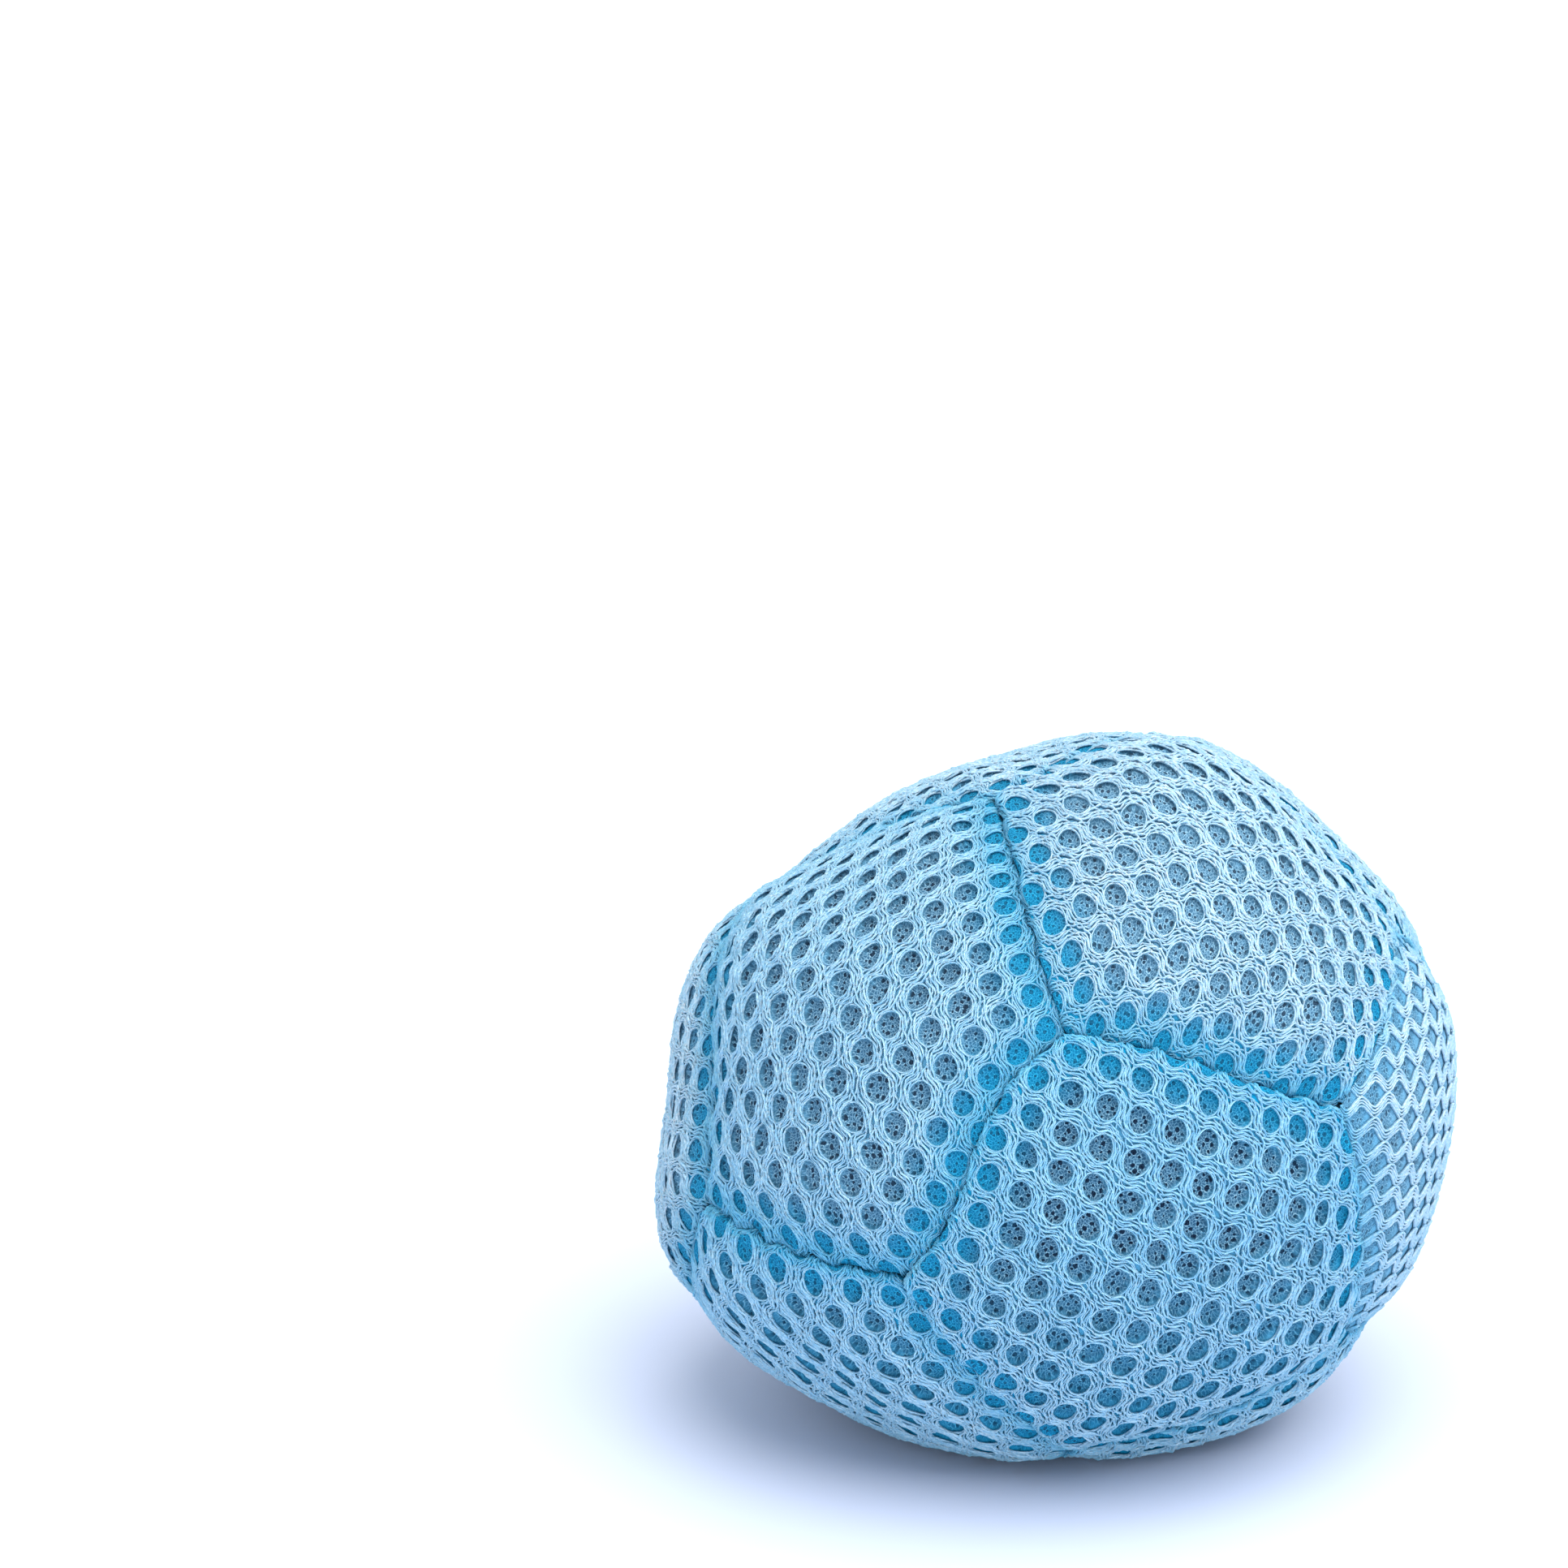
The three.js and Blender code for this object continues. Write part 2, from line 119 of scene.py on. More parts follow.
golden = (1 + math.sqrt(5)) / 2
panel_facings = {
    "upper_right": (-golden, -1, 0),
    "upper_left": (0, -golden, -1),
    "top": (-1, 0, -golden),
    "lower_left": (golden, -1, 0),
    "back": (0, golden, -1),
    "left": (1, 0, -golden),
    "upper_back": (-golden, 1, 0),
    "front": (0, -golden, 1),
    "right": (-1, 0, golden),
    "base_back": (golden, 1, 0),
    "lower_back": (0, golden, 1),
    "base": (1, 0, golden),
}
body_turns = (math.radians(139), math.radians(50), math.radians(-148))
gather_shares = (0.12, 0.1, -0.07)
corner_wander_shares = {
    "front+upper_left+upper_right": (-0.03, -0.014),
    "top+upper_left+upper_right": (-0.043, 0.071),
    "front+lower_left+upper_left": (0.014, 0.014),
    "front+right+upper_right": (-0.029, -0.029),
    "right+upper_back+upper_right": (-0.1, 0.029),
    "base+front+right": (0.114, -0.057),
    "base+front+lower_left": (-0.029, -0.114),
    "left+lower_left+upper_left": (0.24, 0.06),
    "left+top+upper_left": (0.0, 0.03),
    "top+upper_back+upper_right": (0.043, 0.1),
}
seam_wander_shares = {
    "front+upper_left": (-0.011, 0.032),
    "front+lower_left": (0.021, 0),
    "front+right": (0.018, 0.007),
    "front+upper_right": (0, 0.011),
    "upper_left+upper_right": (0.011, 0.004),
    "left+upper_left": (-0.1, 0),
    "left+lower_left": (-0.05, 0),
}

# Small ripples of the seam lines, where they run now through holes and now between them
ripple_height = 0.28 * mm
ripple_counts = (4, 8)
ripple_waves = 3
ripple_seed = 200

# The knit. Holes lie in rows, every second row moved along by half a pitch. Bundles of yarn run
# along the wales, across the rows, and the holes push their strands apart.
row_pitch = 3.7 * mm
course_pitch = 2.4 * mm
hole_half_width = 1.04 * mm
hole_half_height = 1.11 * mm
rim_half_width = 1.08 * mm
rim_half_height = 1.17 * mm
strands_per_bundle = 6
strand_radius = 0.115 * mm
strand_step = 0.3 * mm
strand_depth = 0.22 * mm
crimp_length = 1.15 * mm
crimp_reach = 0.075 * mm
crimp_rise = 0.07 * mm
crimp_drift = 0.9
crimp_drift_lengths = (2.5 * mm, 6 * mm)
crimp_lag = 0.4
wobble_height = 0.05 * mm
wobble_lengths = (1.5 * mm, 5 * mm)
rise_lengths = (1.6 * mm, 4 * mm)
waves_per_yarn = 3
crossing_reach = 0.36 * mm
crossing_under = 0.05 * mm
crossing_over = 0.09 * mm
filament_pitch = 0.2 * mm
yarn_glow_reach = 0.3 * mm
ring_radius = 0.1 * mm
ring_depth = 0.29 * mm
ring_steps = 16
ring_size_shares = (0.94, 1.06)
ring_ripple = 0.04 * mm
ring_rise = 0.06 * mm
warp_waves = 5
warp_length = 9 * mm
warp_height = 0.07 * mm
knit_seed = 100

# The patch of cloth that covers a panel before its edge is cut
patch_reach = 30 * mm
bundles_each_way = 16
hole_rows_each_way = 14
holes_each_way = 10

# Cloth that is pulled taut, whose yarns run in close zigzags
taut_panels = ("right",)
taut_strands = 4
taut_swing = 0.52 * mm
taut_sharpness = 0.6
taut_spacing = 0.25 * mm
taut_radius_share = 1.15
taut_wobble_share = 0.25
taut_shade_share = 0.3
taut_cup_share = 0.3

# How the cloth ends in a seam, and how far the painted shade of the seams reaches: deep cyan down in the
# groove and where the cloth dips
tail_in_seam = 0.9 * mm
seam_squeeze = 0.2 * mm
groove_shade_reach = 0.9 * mm
groove_shade_shares = (0.5, 1)
dip_shade_reach = 2.9 * mm
dip_shade_from_share = 0.5
dip_shade_share = 0.9
pile_shade_reach = 4.2 * mm

# The pile under the yarns, and its fine inner mesh
pile_step = 0.38 * mm
pile_top = 0.4 * mm
pile_at_seam = 0.3 * mm
pile_full_depth_from = (0.6 * mm, 4.5 * mm)
pile_lowering_power = 0.6
pile_deepest_share = 0.8
hole_floor = 1.0 * mm
cup_brim_share = 1.1
cup_wall_share = 0.22
cup_colour_rise = 3
full_thickness_from = 1.8 * mm
pore_pitch = 0.62 * mm
fibre_height = 0.08 * mm
map_span = 64 * mm

# The pellets
pellet_diameter = 3.3 * mm
pellet_length = 2.8 * mm
pellet_rounding = 0.5 * mm
pellet_sides = 8
pellet_pitch = 3.7 * mm
pellet_seed = 5
filling_clearance = 0.6 * mm

# The sewing thread
ply_pitch = 0.25 * mm

# Lumps that the pellets press into the cloth, and puckers along the seams
lump_height = 0.07 * mm
lump_lengths = (6 * mm, 15 * mm)
lump_count = 14
lump_seed = 7
pucker_depth = 0.22 * mm
pucker_reach = 1.7 * mm
pucker_lengths = (2.2 * mm, 5 * mm)
pucker_count = 5

# How each panel was cut from the cloth: for its rows and then for its wales, the turn from level
# in degrees and the stretch of the pitch, and last where one of its holes lies from its middle
panel_lays = {
    "front": (31, 0.97, -63, 0.93, (1.17 * mm, 6.17 * mm)),
    "upper_left": (10, 0.89, -79, 0.99, (13.39 * mm, 1.52 * mm)),
    "upper_right": (34, 1.03, -62, 0.75, (-11.22 * mm, -2.78 * mm)),
    "right": (73, 0.97, -15, 0.6, (-13.44 * mm, 5.72 * mm)),
    "lower_left": (-13, 0.88, -96, 1.0, (10.49 * mm, 10.69 * mm)),
    "top": (20, 0.98, -70, 0.9, (0, 0)),
    "left": (64, 0.96, -28, 0.92, (0.6 * mm, 0.4 * mm)),
    "upper_back": (-40, 1.0, 50, 0.9, (0, 0.5 * mm)),
    "back": (12, 0.97, -80, 0.94, (0.4 * mm, 0)),
    "base_back": (50, 0.96, -42, 0.95, (0, 0)),
    "lower_back": (-25, 1.0, 64, 0.88, (0.3 * mm, 0.8 * mm)),
    "base": (5, 0.98, -86, 0.9, (0, 0.2 * mm)),
}

# How much the cloth of a panel is pulled longer towards its top and its bottom
panel_pulls = {"upper_right": (0.85, 0), "front": (0, 0.6), "lower_left": (0, 0.5)}

# Painted light: how much paler the cloth of each panel is painted, standing for the stronger light and the
# glancing shine on these panels; and how far the floor of the holes rises where it is palest
panel_painted_light = {
    "upper_right": 0.8,
    "right": 1,
    "top": 0.8,
    "upper_left": 0.4,
    "left": 1,
    "upper_back": 0.8,
}
hole_floor_rise = 0.35 * mm

# The light that the floor throws back on the cloth near it makes it paler and bluer
low_paleness = 0.9
low_from = 24 * mm
low_pile_tint = 1.1
low_yarn_tint = 0.16

# The view, the floor and the lights
view_rise = math.radians(18)
view_distance = 500 * mm
view_width = 118 * mm
film_width = 36
bag_right_of_view = 20.9 * mm
bag_below_view = 24.2 * mm
floor_size = 3000 * mm
room_colour = (0.84, 0.92, 1, 1)
room_strength = 1.05
key_from = (0.3, -0.3, 1.0)
key_strength = 3.6
key_colour = (1, 0.99, 0.97)
key_spread = math.radians(65)
card_size = (300 * mm, 40 * mm)
card_place = (30 * mm, -200 * mm, 20 * mm)
card_strength = 0.14
card_colour = (0.72, 0.92, 1)


# Facings, corners and seams of the sewn body

def unit(vectors):
    vectors = np.asarray(vectors, float)
    return vectors / np.linalg.norm(vectors, axis=-1, keepdims=True)


def turn_matrix(axis, angle):
    first, second = [(1, 2), (2, 0), (0, 1)][axis]
    matrix = np.eye(3)
    matrix[first, first] = matrix[second, second] = math.cos(angle)
    matrix[first, second] = -math.sin(angle)
    matrix[second, first] = math.sin(angle)
    return matrix


body_turn = turn_matrix(0, body_turns[0]) @ turn_matrix(1, body_turns[1]) @ turn_matrix(2, body_turns[2])
facings = {name: unit(facing) for name, facing in panel_facings.items()}
neighbour_angle = math.acos(math.sqrt(1 / 5))
neighbour_slack = 1.1
panel_reach = body_radius * neighbour_angle / 2
straight_up = np.array((0.0, 0.0, 1.0))


def are_neighbours(first, second):
    return first != second and facings[first] @ facings[second] > math.cos(neighbour_slack * neighbour_angle)


def settle(direction):
    return unit(body_turn @ unit(direction) + np.array(gather_shares))


def heading(degrees):
    return np.array((math.cos(math.radians(degrees)), math.sin(math.radians(degrees))))


def sideways_and_upwards(direction):
    sideways = unit(np.cross(straight_up, direction))
    return sideways, np.cross(direction, sideways)


def find_corners():
    corners = {}
    for trio in combinations(sorted(facings), 3):
        if not all(are_neighbours(*pair) for pair in combinations(trio, 2)):
            continue
        direction = settle(sum(facings[name] for name in trio))
        key = "+".join(trio)
        if key in corner_wander_shares:
            sideways, upwards = sideways_and_upwards(direction)
            wander = corner_wander_shares[key]
            direction = unit(direction + wander[0] * sideways + wander[1] * upwards)
        corners[trio] = direction
    return corners


def find_seams(corners):
    seams = []
    for first, second in combinations(sorted(facings), 2):
        if not are_neighbours(first, second):
            continue
        start, finish = [corners[key] for key in corners if first in key and second in key]
        across = unit(np.cross(start, finish))
        if across @ (settle(facings[first]) - settle(facings[second])) < 0:
            across = -across
        along = np.cross(across, start)
        if along @ finish < 0:
            along = -along
        sweep = math.acos(float(np.clip(start @ finish, -1, 1)))
        bow, sway = seam_wander_shares.get(first + "+" + second, (0, 0))
        random = np.random.default_rng(ripple_seed + len(seams))
        counts = random.uniform(*ripple_counts, ripple_waves)
        phases = random.uniform(0, 2 * np.pi, ripple_waves)
        seams.append(dict(names=(first, second), start=start, along=along, across=across,
                          sweep=sweep, bow=bow, sway=sway, counts=counts, phases=phases))
    return seams


corners = find_corners()
seams = find_seams(corners)


def angle_off_seam(seam, directions, panel):
    """The angle by which directions lie off a seam, positive on the panel's side of it."""
    share = np.arctan2(directions @ seam["along"], directions @ seam["start"]) / seam["sweep"]
    share = np.clip(share, 0, 1)
    bow = np.sin(np.pi * share)
    wander = seam["bow"] * bow + seam["sway"] * np.sin(2 * np.pi * share)
    ripples = np.sin(2 * np.pi * share[..., None] * seam["counts"] + seam["phases"]).mean(-1)
    wander = wander + ripple_height / body_radius * bow * ripples
    off = np.arcsin(np.clip(directions @ seam["across"], -1, 1)) - wander
    return off if seam["names"][0] == panel else -off


swell_axis = np.array((0, -math.cos(swell_axis_rise), math.sin(swell_axis_rise)))
swell_up = np.array((0, math.sin(swell_axis_rise), math.cos(swell_axis_rise)))


def radius_along(directions):
    sine = np.sqrt(np.maximum(0, 1 - (directions @ swell_axis) ** 2))
    turn = np.arctan2(directions @ swell_up, directions[..., 0])
    oval = oval_swell * sine ** 2 * np.cos(2 * (turn - oval_turn))
    three_lobe = three_lobe_swell * sine ** 3 * np.cos(3 * (turn - three_lobe_turn))
    girth = sum(height * np.exp(-(turn_between(turn, math.radians(place)) / girth_lump_reach) ** 2)
                for place, height in girth_lumps)
    return body_radius + oval + three_lobe + girth * sine ** 4


def turn_between(turn, other):
    return (turn - other + np.pi) % (2 * np.pi) - np.pi


def press_flat(heights):
    bent = (heights + rest_bend) ** 2 / (4 * rest_bend)
    return np.where(heights > rest_bend, heights, np.where(heights < -rest_bend, 0, bent))


def crown_at(from_seam):
    share = np.clip(from_seam / panel_reach, 0, 1)
    return panel_crown * (1 - (1 - share) ** 2)


lump_random = np.random.default_rng(lump_seed)
lump_turns = 2 * np.pi * body_radius / lump_random.uniform(*lump_lengths, lump_count)
lump_waves = (unit(lump_random.normal(size=(lump_count, 3))) * lump_turns[:, None]).T
lump_phases = lump_random.uniform(0, 2 * np.pi, lump_count)


def lumps_at(directions):
    return lump_height * np.sin(directions @ lump_waves + lump_phases).sum(-1) / math.sqrt(lump_count / 2)


def body_points(directions, depth, from_seam):
    """Points a depth under the skin, measured from the bag's own middle on its resting plane."""
    outer = radius_along(directions) + crown_at(from_seam) + lumps_at(directions)
    points = directions * (outer - depth)[..., None]
    points[..., 2] = press_flat(points[..., 2] + rest_height - depth) + depth
    return points


bearings_round = 720


def bag_place():
    """Where the bag's middle stands, so that its skin fills the box of the solids."""
    turns = np.linspace(0, 2 * np.pi, bearings_round // 4 + 1)
    rises = np.linspace(-np.pi / 2, np.pi / 2, bearings_round // 8 + 1)
    turns, rises = np.meshgrid(turns, rises)
    directions = np.stack((np.cos(rises) * np.cos(turns), np.cos(rises) * np.sin(turns), np.sin(rises)), -1)
    skin = body_points(directions, np.zeros(turns.shape), np.full(turns.shape, panel_reach / 2))
    middle = (skin.reshape(-1, 3).max(0) + skin.reshape(-1, 3).min(0)) / 2
    solid_middle = (np.array(solid_box[0]) + np.array(solid_box[1])) / 2
    return np.array((solid_middle[0] - middle[0], solid_middle[1] - middle[1], 0))


bag_middle = bag_place()


# A panel's cloth, laid over the body

flat_radius = body_radius + panel_crown
seam_search = (8 * mm, 30 * mm)
search_step = 0.1 * mm
least_squareness = 0.3
corner_rounding = 0.2 * mm
fold_blur = 25


def smooth_least(values, width):
    least = values.min(0)
    return least - width * np.log(np.exp(-(values - least) / width).sum(0))


def blur_round(values):
    """Values at the bearings round a panel, evened out where one seam's give way to the next's."""
    wrapped = np.concatenate((values[-1 - fold_blur:-1], values, values[1:1 + fold_blur]))
    return np.convolve(wrapped, np.ones(fold_blur) / fold_blur, "same")[fold_blur:-fold_blur]


def lowness(points):
    return np.clip(1 - points[..., 2] / low_from, 0, 1)


class Lay:
    """Takes places on a panel's flat cloth to the body, round the fold at its seams."""

    def __init__(self, panel):
        self.panel = panel
        self.middle = unit(sum(corners[key] for key in corners if panel in key))
        self.east, self.north = sideways_and_upwards(self.middle)
        self.seams = [seam for seam in seams if panel in seam["names"]]
        row_turn, row_share, wale_turn, wale_share, self.hole_place = panel_lays[panel]
        self.grain = np.stack((row_share * heading(row_turn), wale_share * heading(wale_turn)), 1)
        self.find_reach()
        random = np.random.default_rng(list(panel_facings).index(panel))
        round_panel = 2 * np.pi * panel_reach / random.uniform(*pucker_lengths, pucker_count)
        # The light painted onto this panel's cloth, which also raises the floor of its holes
        self.panel_light = panel_painted_light.get(panel, 0)
        self.pucker_turns = np.rint(round_panel)
        self.pucker_phases = random.uniform(0, 2 * np.pi, pucker_count)

    def directions(self, distance, bearing):
        angle = distance / flat_radius
        outwards = np.cos(bearing)[..., None] * self.east + np.sin(bearing)[..., None] * self.north
        return np.cos(angle)[..., None] * self.middle + np.sin(angle)[..., None] * outwards

    def find_reach(self):
        """The distance from the middle to the seam at each bearing, and how squarely it is met."""
        self.bearings = np.linspace(-np.pi, np.pi, bearings_round + 1)
        distances = np.arange(*seam_search, search_step)
        grid = self.directions(distances[None, :], self.bearings[:, None])
        off = np.stack([angle_off_seam(seam, grid, self.panel) * flat_radius for seam in self.seams])
        nearest = np.argmin(off, axis=0)
        off = smooth_least(off, corner_rounding)
        last = np.argmax(off < 0, axis=1)
        rows = np.arange(len(self.bearings))
        before, after = off[rows, last - 1], off[rows, last]
        self.reach = distances[last - 1] + search_step * before / (before - after)
        self.squareness = np.clip((before - after) / search_step, least_squareness, 1)
        folds = np.array([seam_fold_shares.get("+".join(seam["names"]), 1) for seam in self.seams])
        folds = fold_radius * folds[nearest[rows, last]]
        others = [[name for name in seam["names"] if name != self.panel][0] for seam in self.seams]
        shares = [valley_shares.get(self.panel + " beside " + other, 1) for other in others]
        self.folds = blur_round(folds)
        self.valleys = blur_round(valley_depth * np.array(shares)[nearest[rows, last]])

    def to_flat(self, cloth):
        """Places counted along the rows and wales, as metres east and north of the middle."""
        places = cloth @ self.grain.T + np.array(self.hole_place)
        up, down = panel_pulls.get(self.panel, (0, 0))
        above = np.maximum(panel_reach + places[..., 1], 0)
        below = np.maximum(panel_reach - places[..., 1], 0)
        places[..., 1] += (up * above ** 3 - down * below ** 3) / (3 * (2 * panel_reach) ** 2)
        return places

    def from_flat(self, places):
        return (places - np.array(self.hole_place)) @ np.linalg.inv(self.grain).T

    def edge_distance(self, places):
        """How far in from its seam line a place on the flat cloth is, negative past it."""
        bearing = np.arctan2(places[..., 1], places[..., 0])
        reach = np.interp(bearing, self.bearings, self.reach)
        squareness = np.interp(bearing, self.bearings, self.squareness)
        fold = np.interp(bearing, self.bearings, self.folds)
        cloth_reach = reach + (math.pi / 2 - 1) * fold / squareness
        inside = (cloth_reach - np.hypot(places[..., 0], places[..., 1])) * squareness
        return inside, bearing, reach, squareness, fold

    def seam_shade_at(self, inside, bearing):
        """How much painted shade the yarns take near the seams: down in the groove, and where the cloth
        dips.
        """
        inside = np.maximum(inside, 0)
        share = np.interp(bearing, self.bearings, self.valleys) / valley_depth
        groove = np.clip(share, *groove_shade_shares) * np.exp(-(inside / groove_shade_reach) ** 4)
        dip = dip_shade_share * np.clip(share - dip_shade_from_share, 0, 1)
        return np.maximum(groove, dip * np.exp(-(inside / dip_shade_reach) ** 2))

    def painted_light_at(self, points):
        """How much painted light pales the cloth: on the panels where stronger light and glancing shine are
        painted in, and towards the floor, which lights it from below.
        """
        return np.maximum(self.panel_light, low_paleness * lowness(points))

    def place(self, places, depth):
        """Points of the frame for places on the flat cloth, a depth under its face."""
        inside, bearing, reach, squareness, fold = self.edge_distance(places)
        bend = np.clip(inside / fold, 0, math.pi / 2)
        beyond = np.maximum(inside - fold * math.pi / 2, 0)
        below = np.maximum(-inside, 0)
        turned = np.maximum(fold - depth, 0)
        deeper = np.maximum(depth - fold, 0)
        from_seam = fold - turned * np.cos(bend) + beyond
        drop = fold - turned * np.sin(bend) + below + deeper * np.sin(bend)
        from_seam = from_seam + deeper * (1 - np.sin(bend)) - seam_squeeze * np.cos(bend)
        valley = np.interp(bearing, self.bearings, self.valleys)
        drop = drop + valley * np.exp(-(np.maximum(inside, 0) / valley_reach) ** 2)
        waves = np.sin(bearing[..., None] * self.pucker_turns + self.pucker_phases).mean(-1)
        drop = drop + pucker_depth * waves * np.exp(-(inside / pucker_reach) ** 2)
        directions = self.directions(reach - from_seam / squareness, bearing)
        return body_points(directions, drop, from_seam) + bag_middle


# Meshes

def add_object(name, data):
    thing = bpy.data.objects.new(name, data)
    bpy.context.scene.collection.objects.link(thing)
    return thing


def make_mesh(name, vertices, faces, material, values, places):
    """A mesh from arrays of faces, with values at its vertices and a map place for each corner."""
    mesh = bpy.data.meshes.new(name)
    mesh.vertices.add(len(vertices))
    mesh.vertices.foreach_set("co", vertices.astype(np.float32).ravel())
    sizes = np.concatenate([np.full(len(some), some.shape[1]) for some in faces])
    corners_used = np.concatenate([some.ravel() for some in faces]).astype(np.int32)
    mesh.loops.add(len(corners_used))
    mesh.loops.foreach_set("vertex_index", corners_used)
    mesh.polygons.add(len(sizes))
    starts = np.concatenate(([0], np.cumsum(sizes)[:-1])).astype(np.int32)
    mesh.polygons.foreach_set("loop_start", starts)
    mesh.polygons.foreach_set("use_smooth", np.ones(len(sizes), bool))
    for value_name, numbers in values:
        attribute = mesh.attributes.new(value_name, "FLOAT", "POINT")
        attribute.data.foreach_set("value", numbers.astype(np.float32))
    mesh.materials.append(material)
    mesh.update(calc_edges=True)
    layer = mesh.uv_layers.new(name="OFBake")
    layer.data.foreach_set("uv", places.astype(np.float32).ravel())
    mesh.validate()
    return add_object(name, mesh)


class Yarns:
    """Collects runs of yarn and turns them into tubes with three sides."""

    sides = 3

    def __init__(self):
        self.vertices = []
        self.walls = []
        self.caps = []
        self.values = {"painted_shade_and_bounce": [], "tone": [], "pale": []}
        self.wall_maps = []
        self.cap_maps = []
        self.count = 0

    def add(self, centres, outwards, flat, present, radius, painted_shade_and_bounce, tone, pale, closed=False):
        """Adds tubes along rows of centres, with each tube broken where a centre isn't present."""
        after = np.roll(centres, -1, axis=1)
        before = np.roll(centres, 1, axis=1)
        if not closed:
            after[:, -1] = centres[:, -1]
            before[:, 0] = centres[:, 0]
        along = unit(after - before)
        beside = unit(np.cross(along, outwards))
        upward = np.cross(beside, along)
        tubes, steps = present.shape
        turns = math.pi / 2 + np.arange(self.sides) * 2 * np.pi / self.sides
        ring = centres[:, :, None] + radius * (beside[:, :, None] * np.cos(turns)[:, None]
                                               + upward[:, :, None] * np.sin(turns)[:, None])
        index = np.arange(tubes * steps * self.sides).reshape(tubes, steps, self.sides)
        following = np.roll(index, -1, axis=1)
        joined = present & np.roll(present, -1, axis=1)
        if not closed:
            joined[:, -1] = False
        turned = np.roll(index, -1, axis=2)
        following_turned = np.roll(following, -1, axis=2)
        walls = np.stack((index, following, following_turned, turned), -1)[joined].reshape(-1, 4)
        starting = joined & ~np.roll(joined, 1, axis=1)
        ending = joined & ~np.roll(joined, -1, axis=1)
        caps = np.concatenate((index[starting], following[ending][:, ::-1]))
        ahead = np.roll(flat, -1, axis=1) - flat
        across = 2 * radius * unit(np.stack((-ahead[..., 1], ahead[..., 0]), -1) + 1e-9)
        lines = (np.arange(self.sides + 1) / self.sides - 0.5)[:, None]
        near = flat[:, :, None] + across[:, :, None] * lines
        far = np.roll(flat, -1, axis=1)[:, :, None] + across[:, :, None] * lines
        wall_map = np.stack((near[:, :, :-1], far[:, :, :-1], far[:, :, 1:], near[:, :, 1:]), -2)
        self.wall_maps.append(wall_map[joined].reshape(-1, 2))
        start_map = np.stack((near[starting][:, 0], near[starting][:, -1], far[starting][:, 1]), 1)
        end_map = np.stack((far[ending][:, 0], far[ending][:, -1], near[ending][:, 1]), 1)
        self.cap_maps.append(np.concatenate((start_map, end_map)).reshape(-1, 2))
        used = np.unique(walls)
        renumbered = np.zeros(index.size, np.int64)
        renumbered[used] = np.arange(len(used)) + self.count
        self.vertices.append(ring.reshape(-1, 3)[used])
        self.walls.append(renumbered[walls])
        self.caps.append(renumbered[caps])
        for store, values in zip(self.values.values(), (painted_shade_and_bounce, tone, pale)):
            whole = np.broadcast_to(np.broadcast_to(values, present.shape)[..., None], index.shape)
            store.append(whole.reshape(-1)[used])
        self.count += len(used)

    def build(self, name, material):
        faces = [np.concatenate(self.walls), np.concatenate(self.caps)]
        values = [(value_name, np.concatenate(store)) for value_name, store in self.values.items()]
        places = np.concatenate(self.wall_maps + self.cap_maps) / map_span + 0.5
        return make_mesh(name, np.concatenate(self.vertices), faces, material, values, places)


# The knit of one panel

def cloth_warp(cloth, random):
    """Small slow drifts of the knit, as hand-cut cloth has."""
    drift = np.zeros(cloth.shape)
    for _ in range(warp_waves):
        wave = random.uniform(-1, 1, 2) * 2 * np.pi / warp_length
        phase = random.uniform(0, 2 * np.pi, 2)
        for axis in (0, 1):
            drift[..., axis] += warp_height * np.sin(cloth @ wave + phase[axis])
    return drift


def slow_waves(random, count, along, height, lengths):
    """Unevenness along a number of yarns, as a sum of waves of the lengths given."""
    waves = np.zeros((count, along.size))
    for _ in range(waves_per_yarn):
        length = random.uniform(*lengths, (count, 1))
        phase = random.uniform(0, 2 * np.pi, (count, 1))
        waves += height / math.sqrt(waves_per_yarn) * np.sin(2 * np.pi * along / length + phase)
    return waves


def hole_centres():
    rows = np.arange(-hole_rows_each_way, hole_rows_each_way + 1)
    columns = np.arange(-holes_each_way, holes_each_way + 1)
    row, column = np.meshgrid(rows, columns, indexing="ij")
    return np.stack(((column + 0.5 * (row % 2)) * row_pitch, row * course_pitch), -1).reshape(-1, 2)


def hole_reach(from_row):
    """How far to the side a hole pushes the yarns, at a distance from the middle of its row."""
    return rim_half_width * np.sqrt(np.maximum(0, 1 - (from_row / rim_half_height) ** 2))


def cloth_middle(lay):
    """The lattice place nearest the panel's middle, so that the patch covers the panel."""
    middle = lay.from_flat(np.zeros(2))
    row = 2 * round(middle[1] / (2 * course_pitch))
    column = round(middle[0] / row_pitch)
    return np.array((column * row_pitch, row * course_pitch))


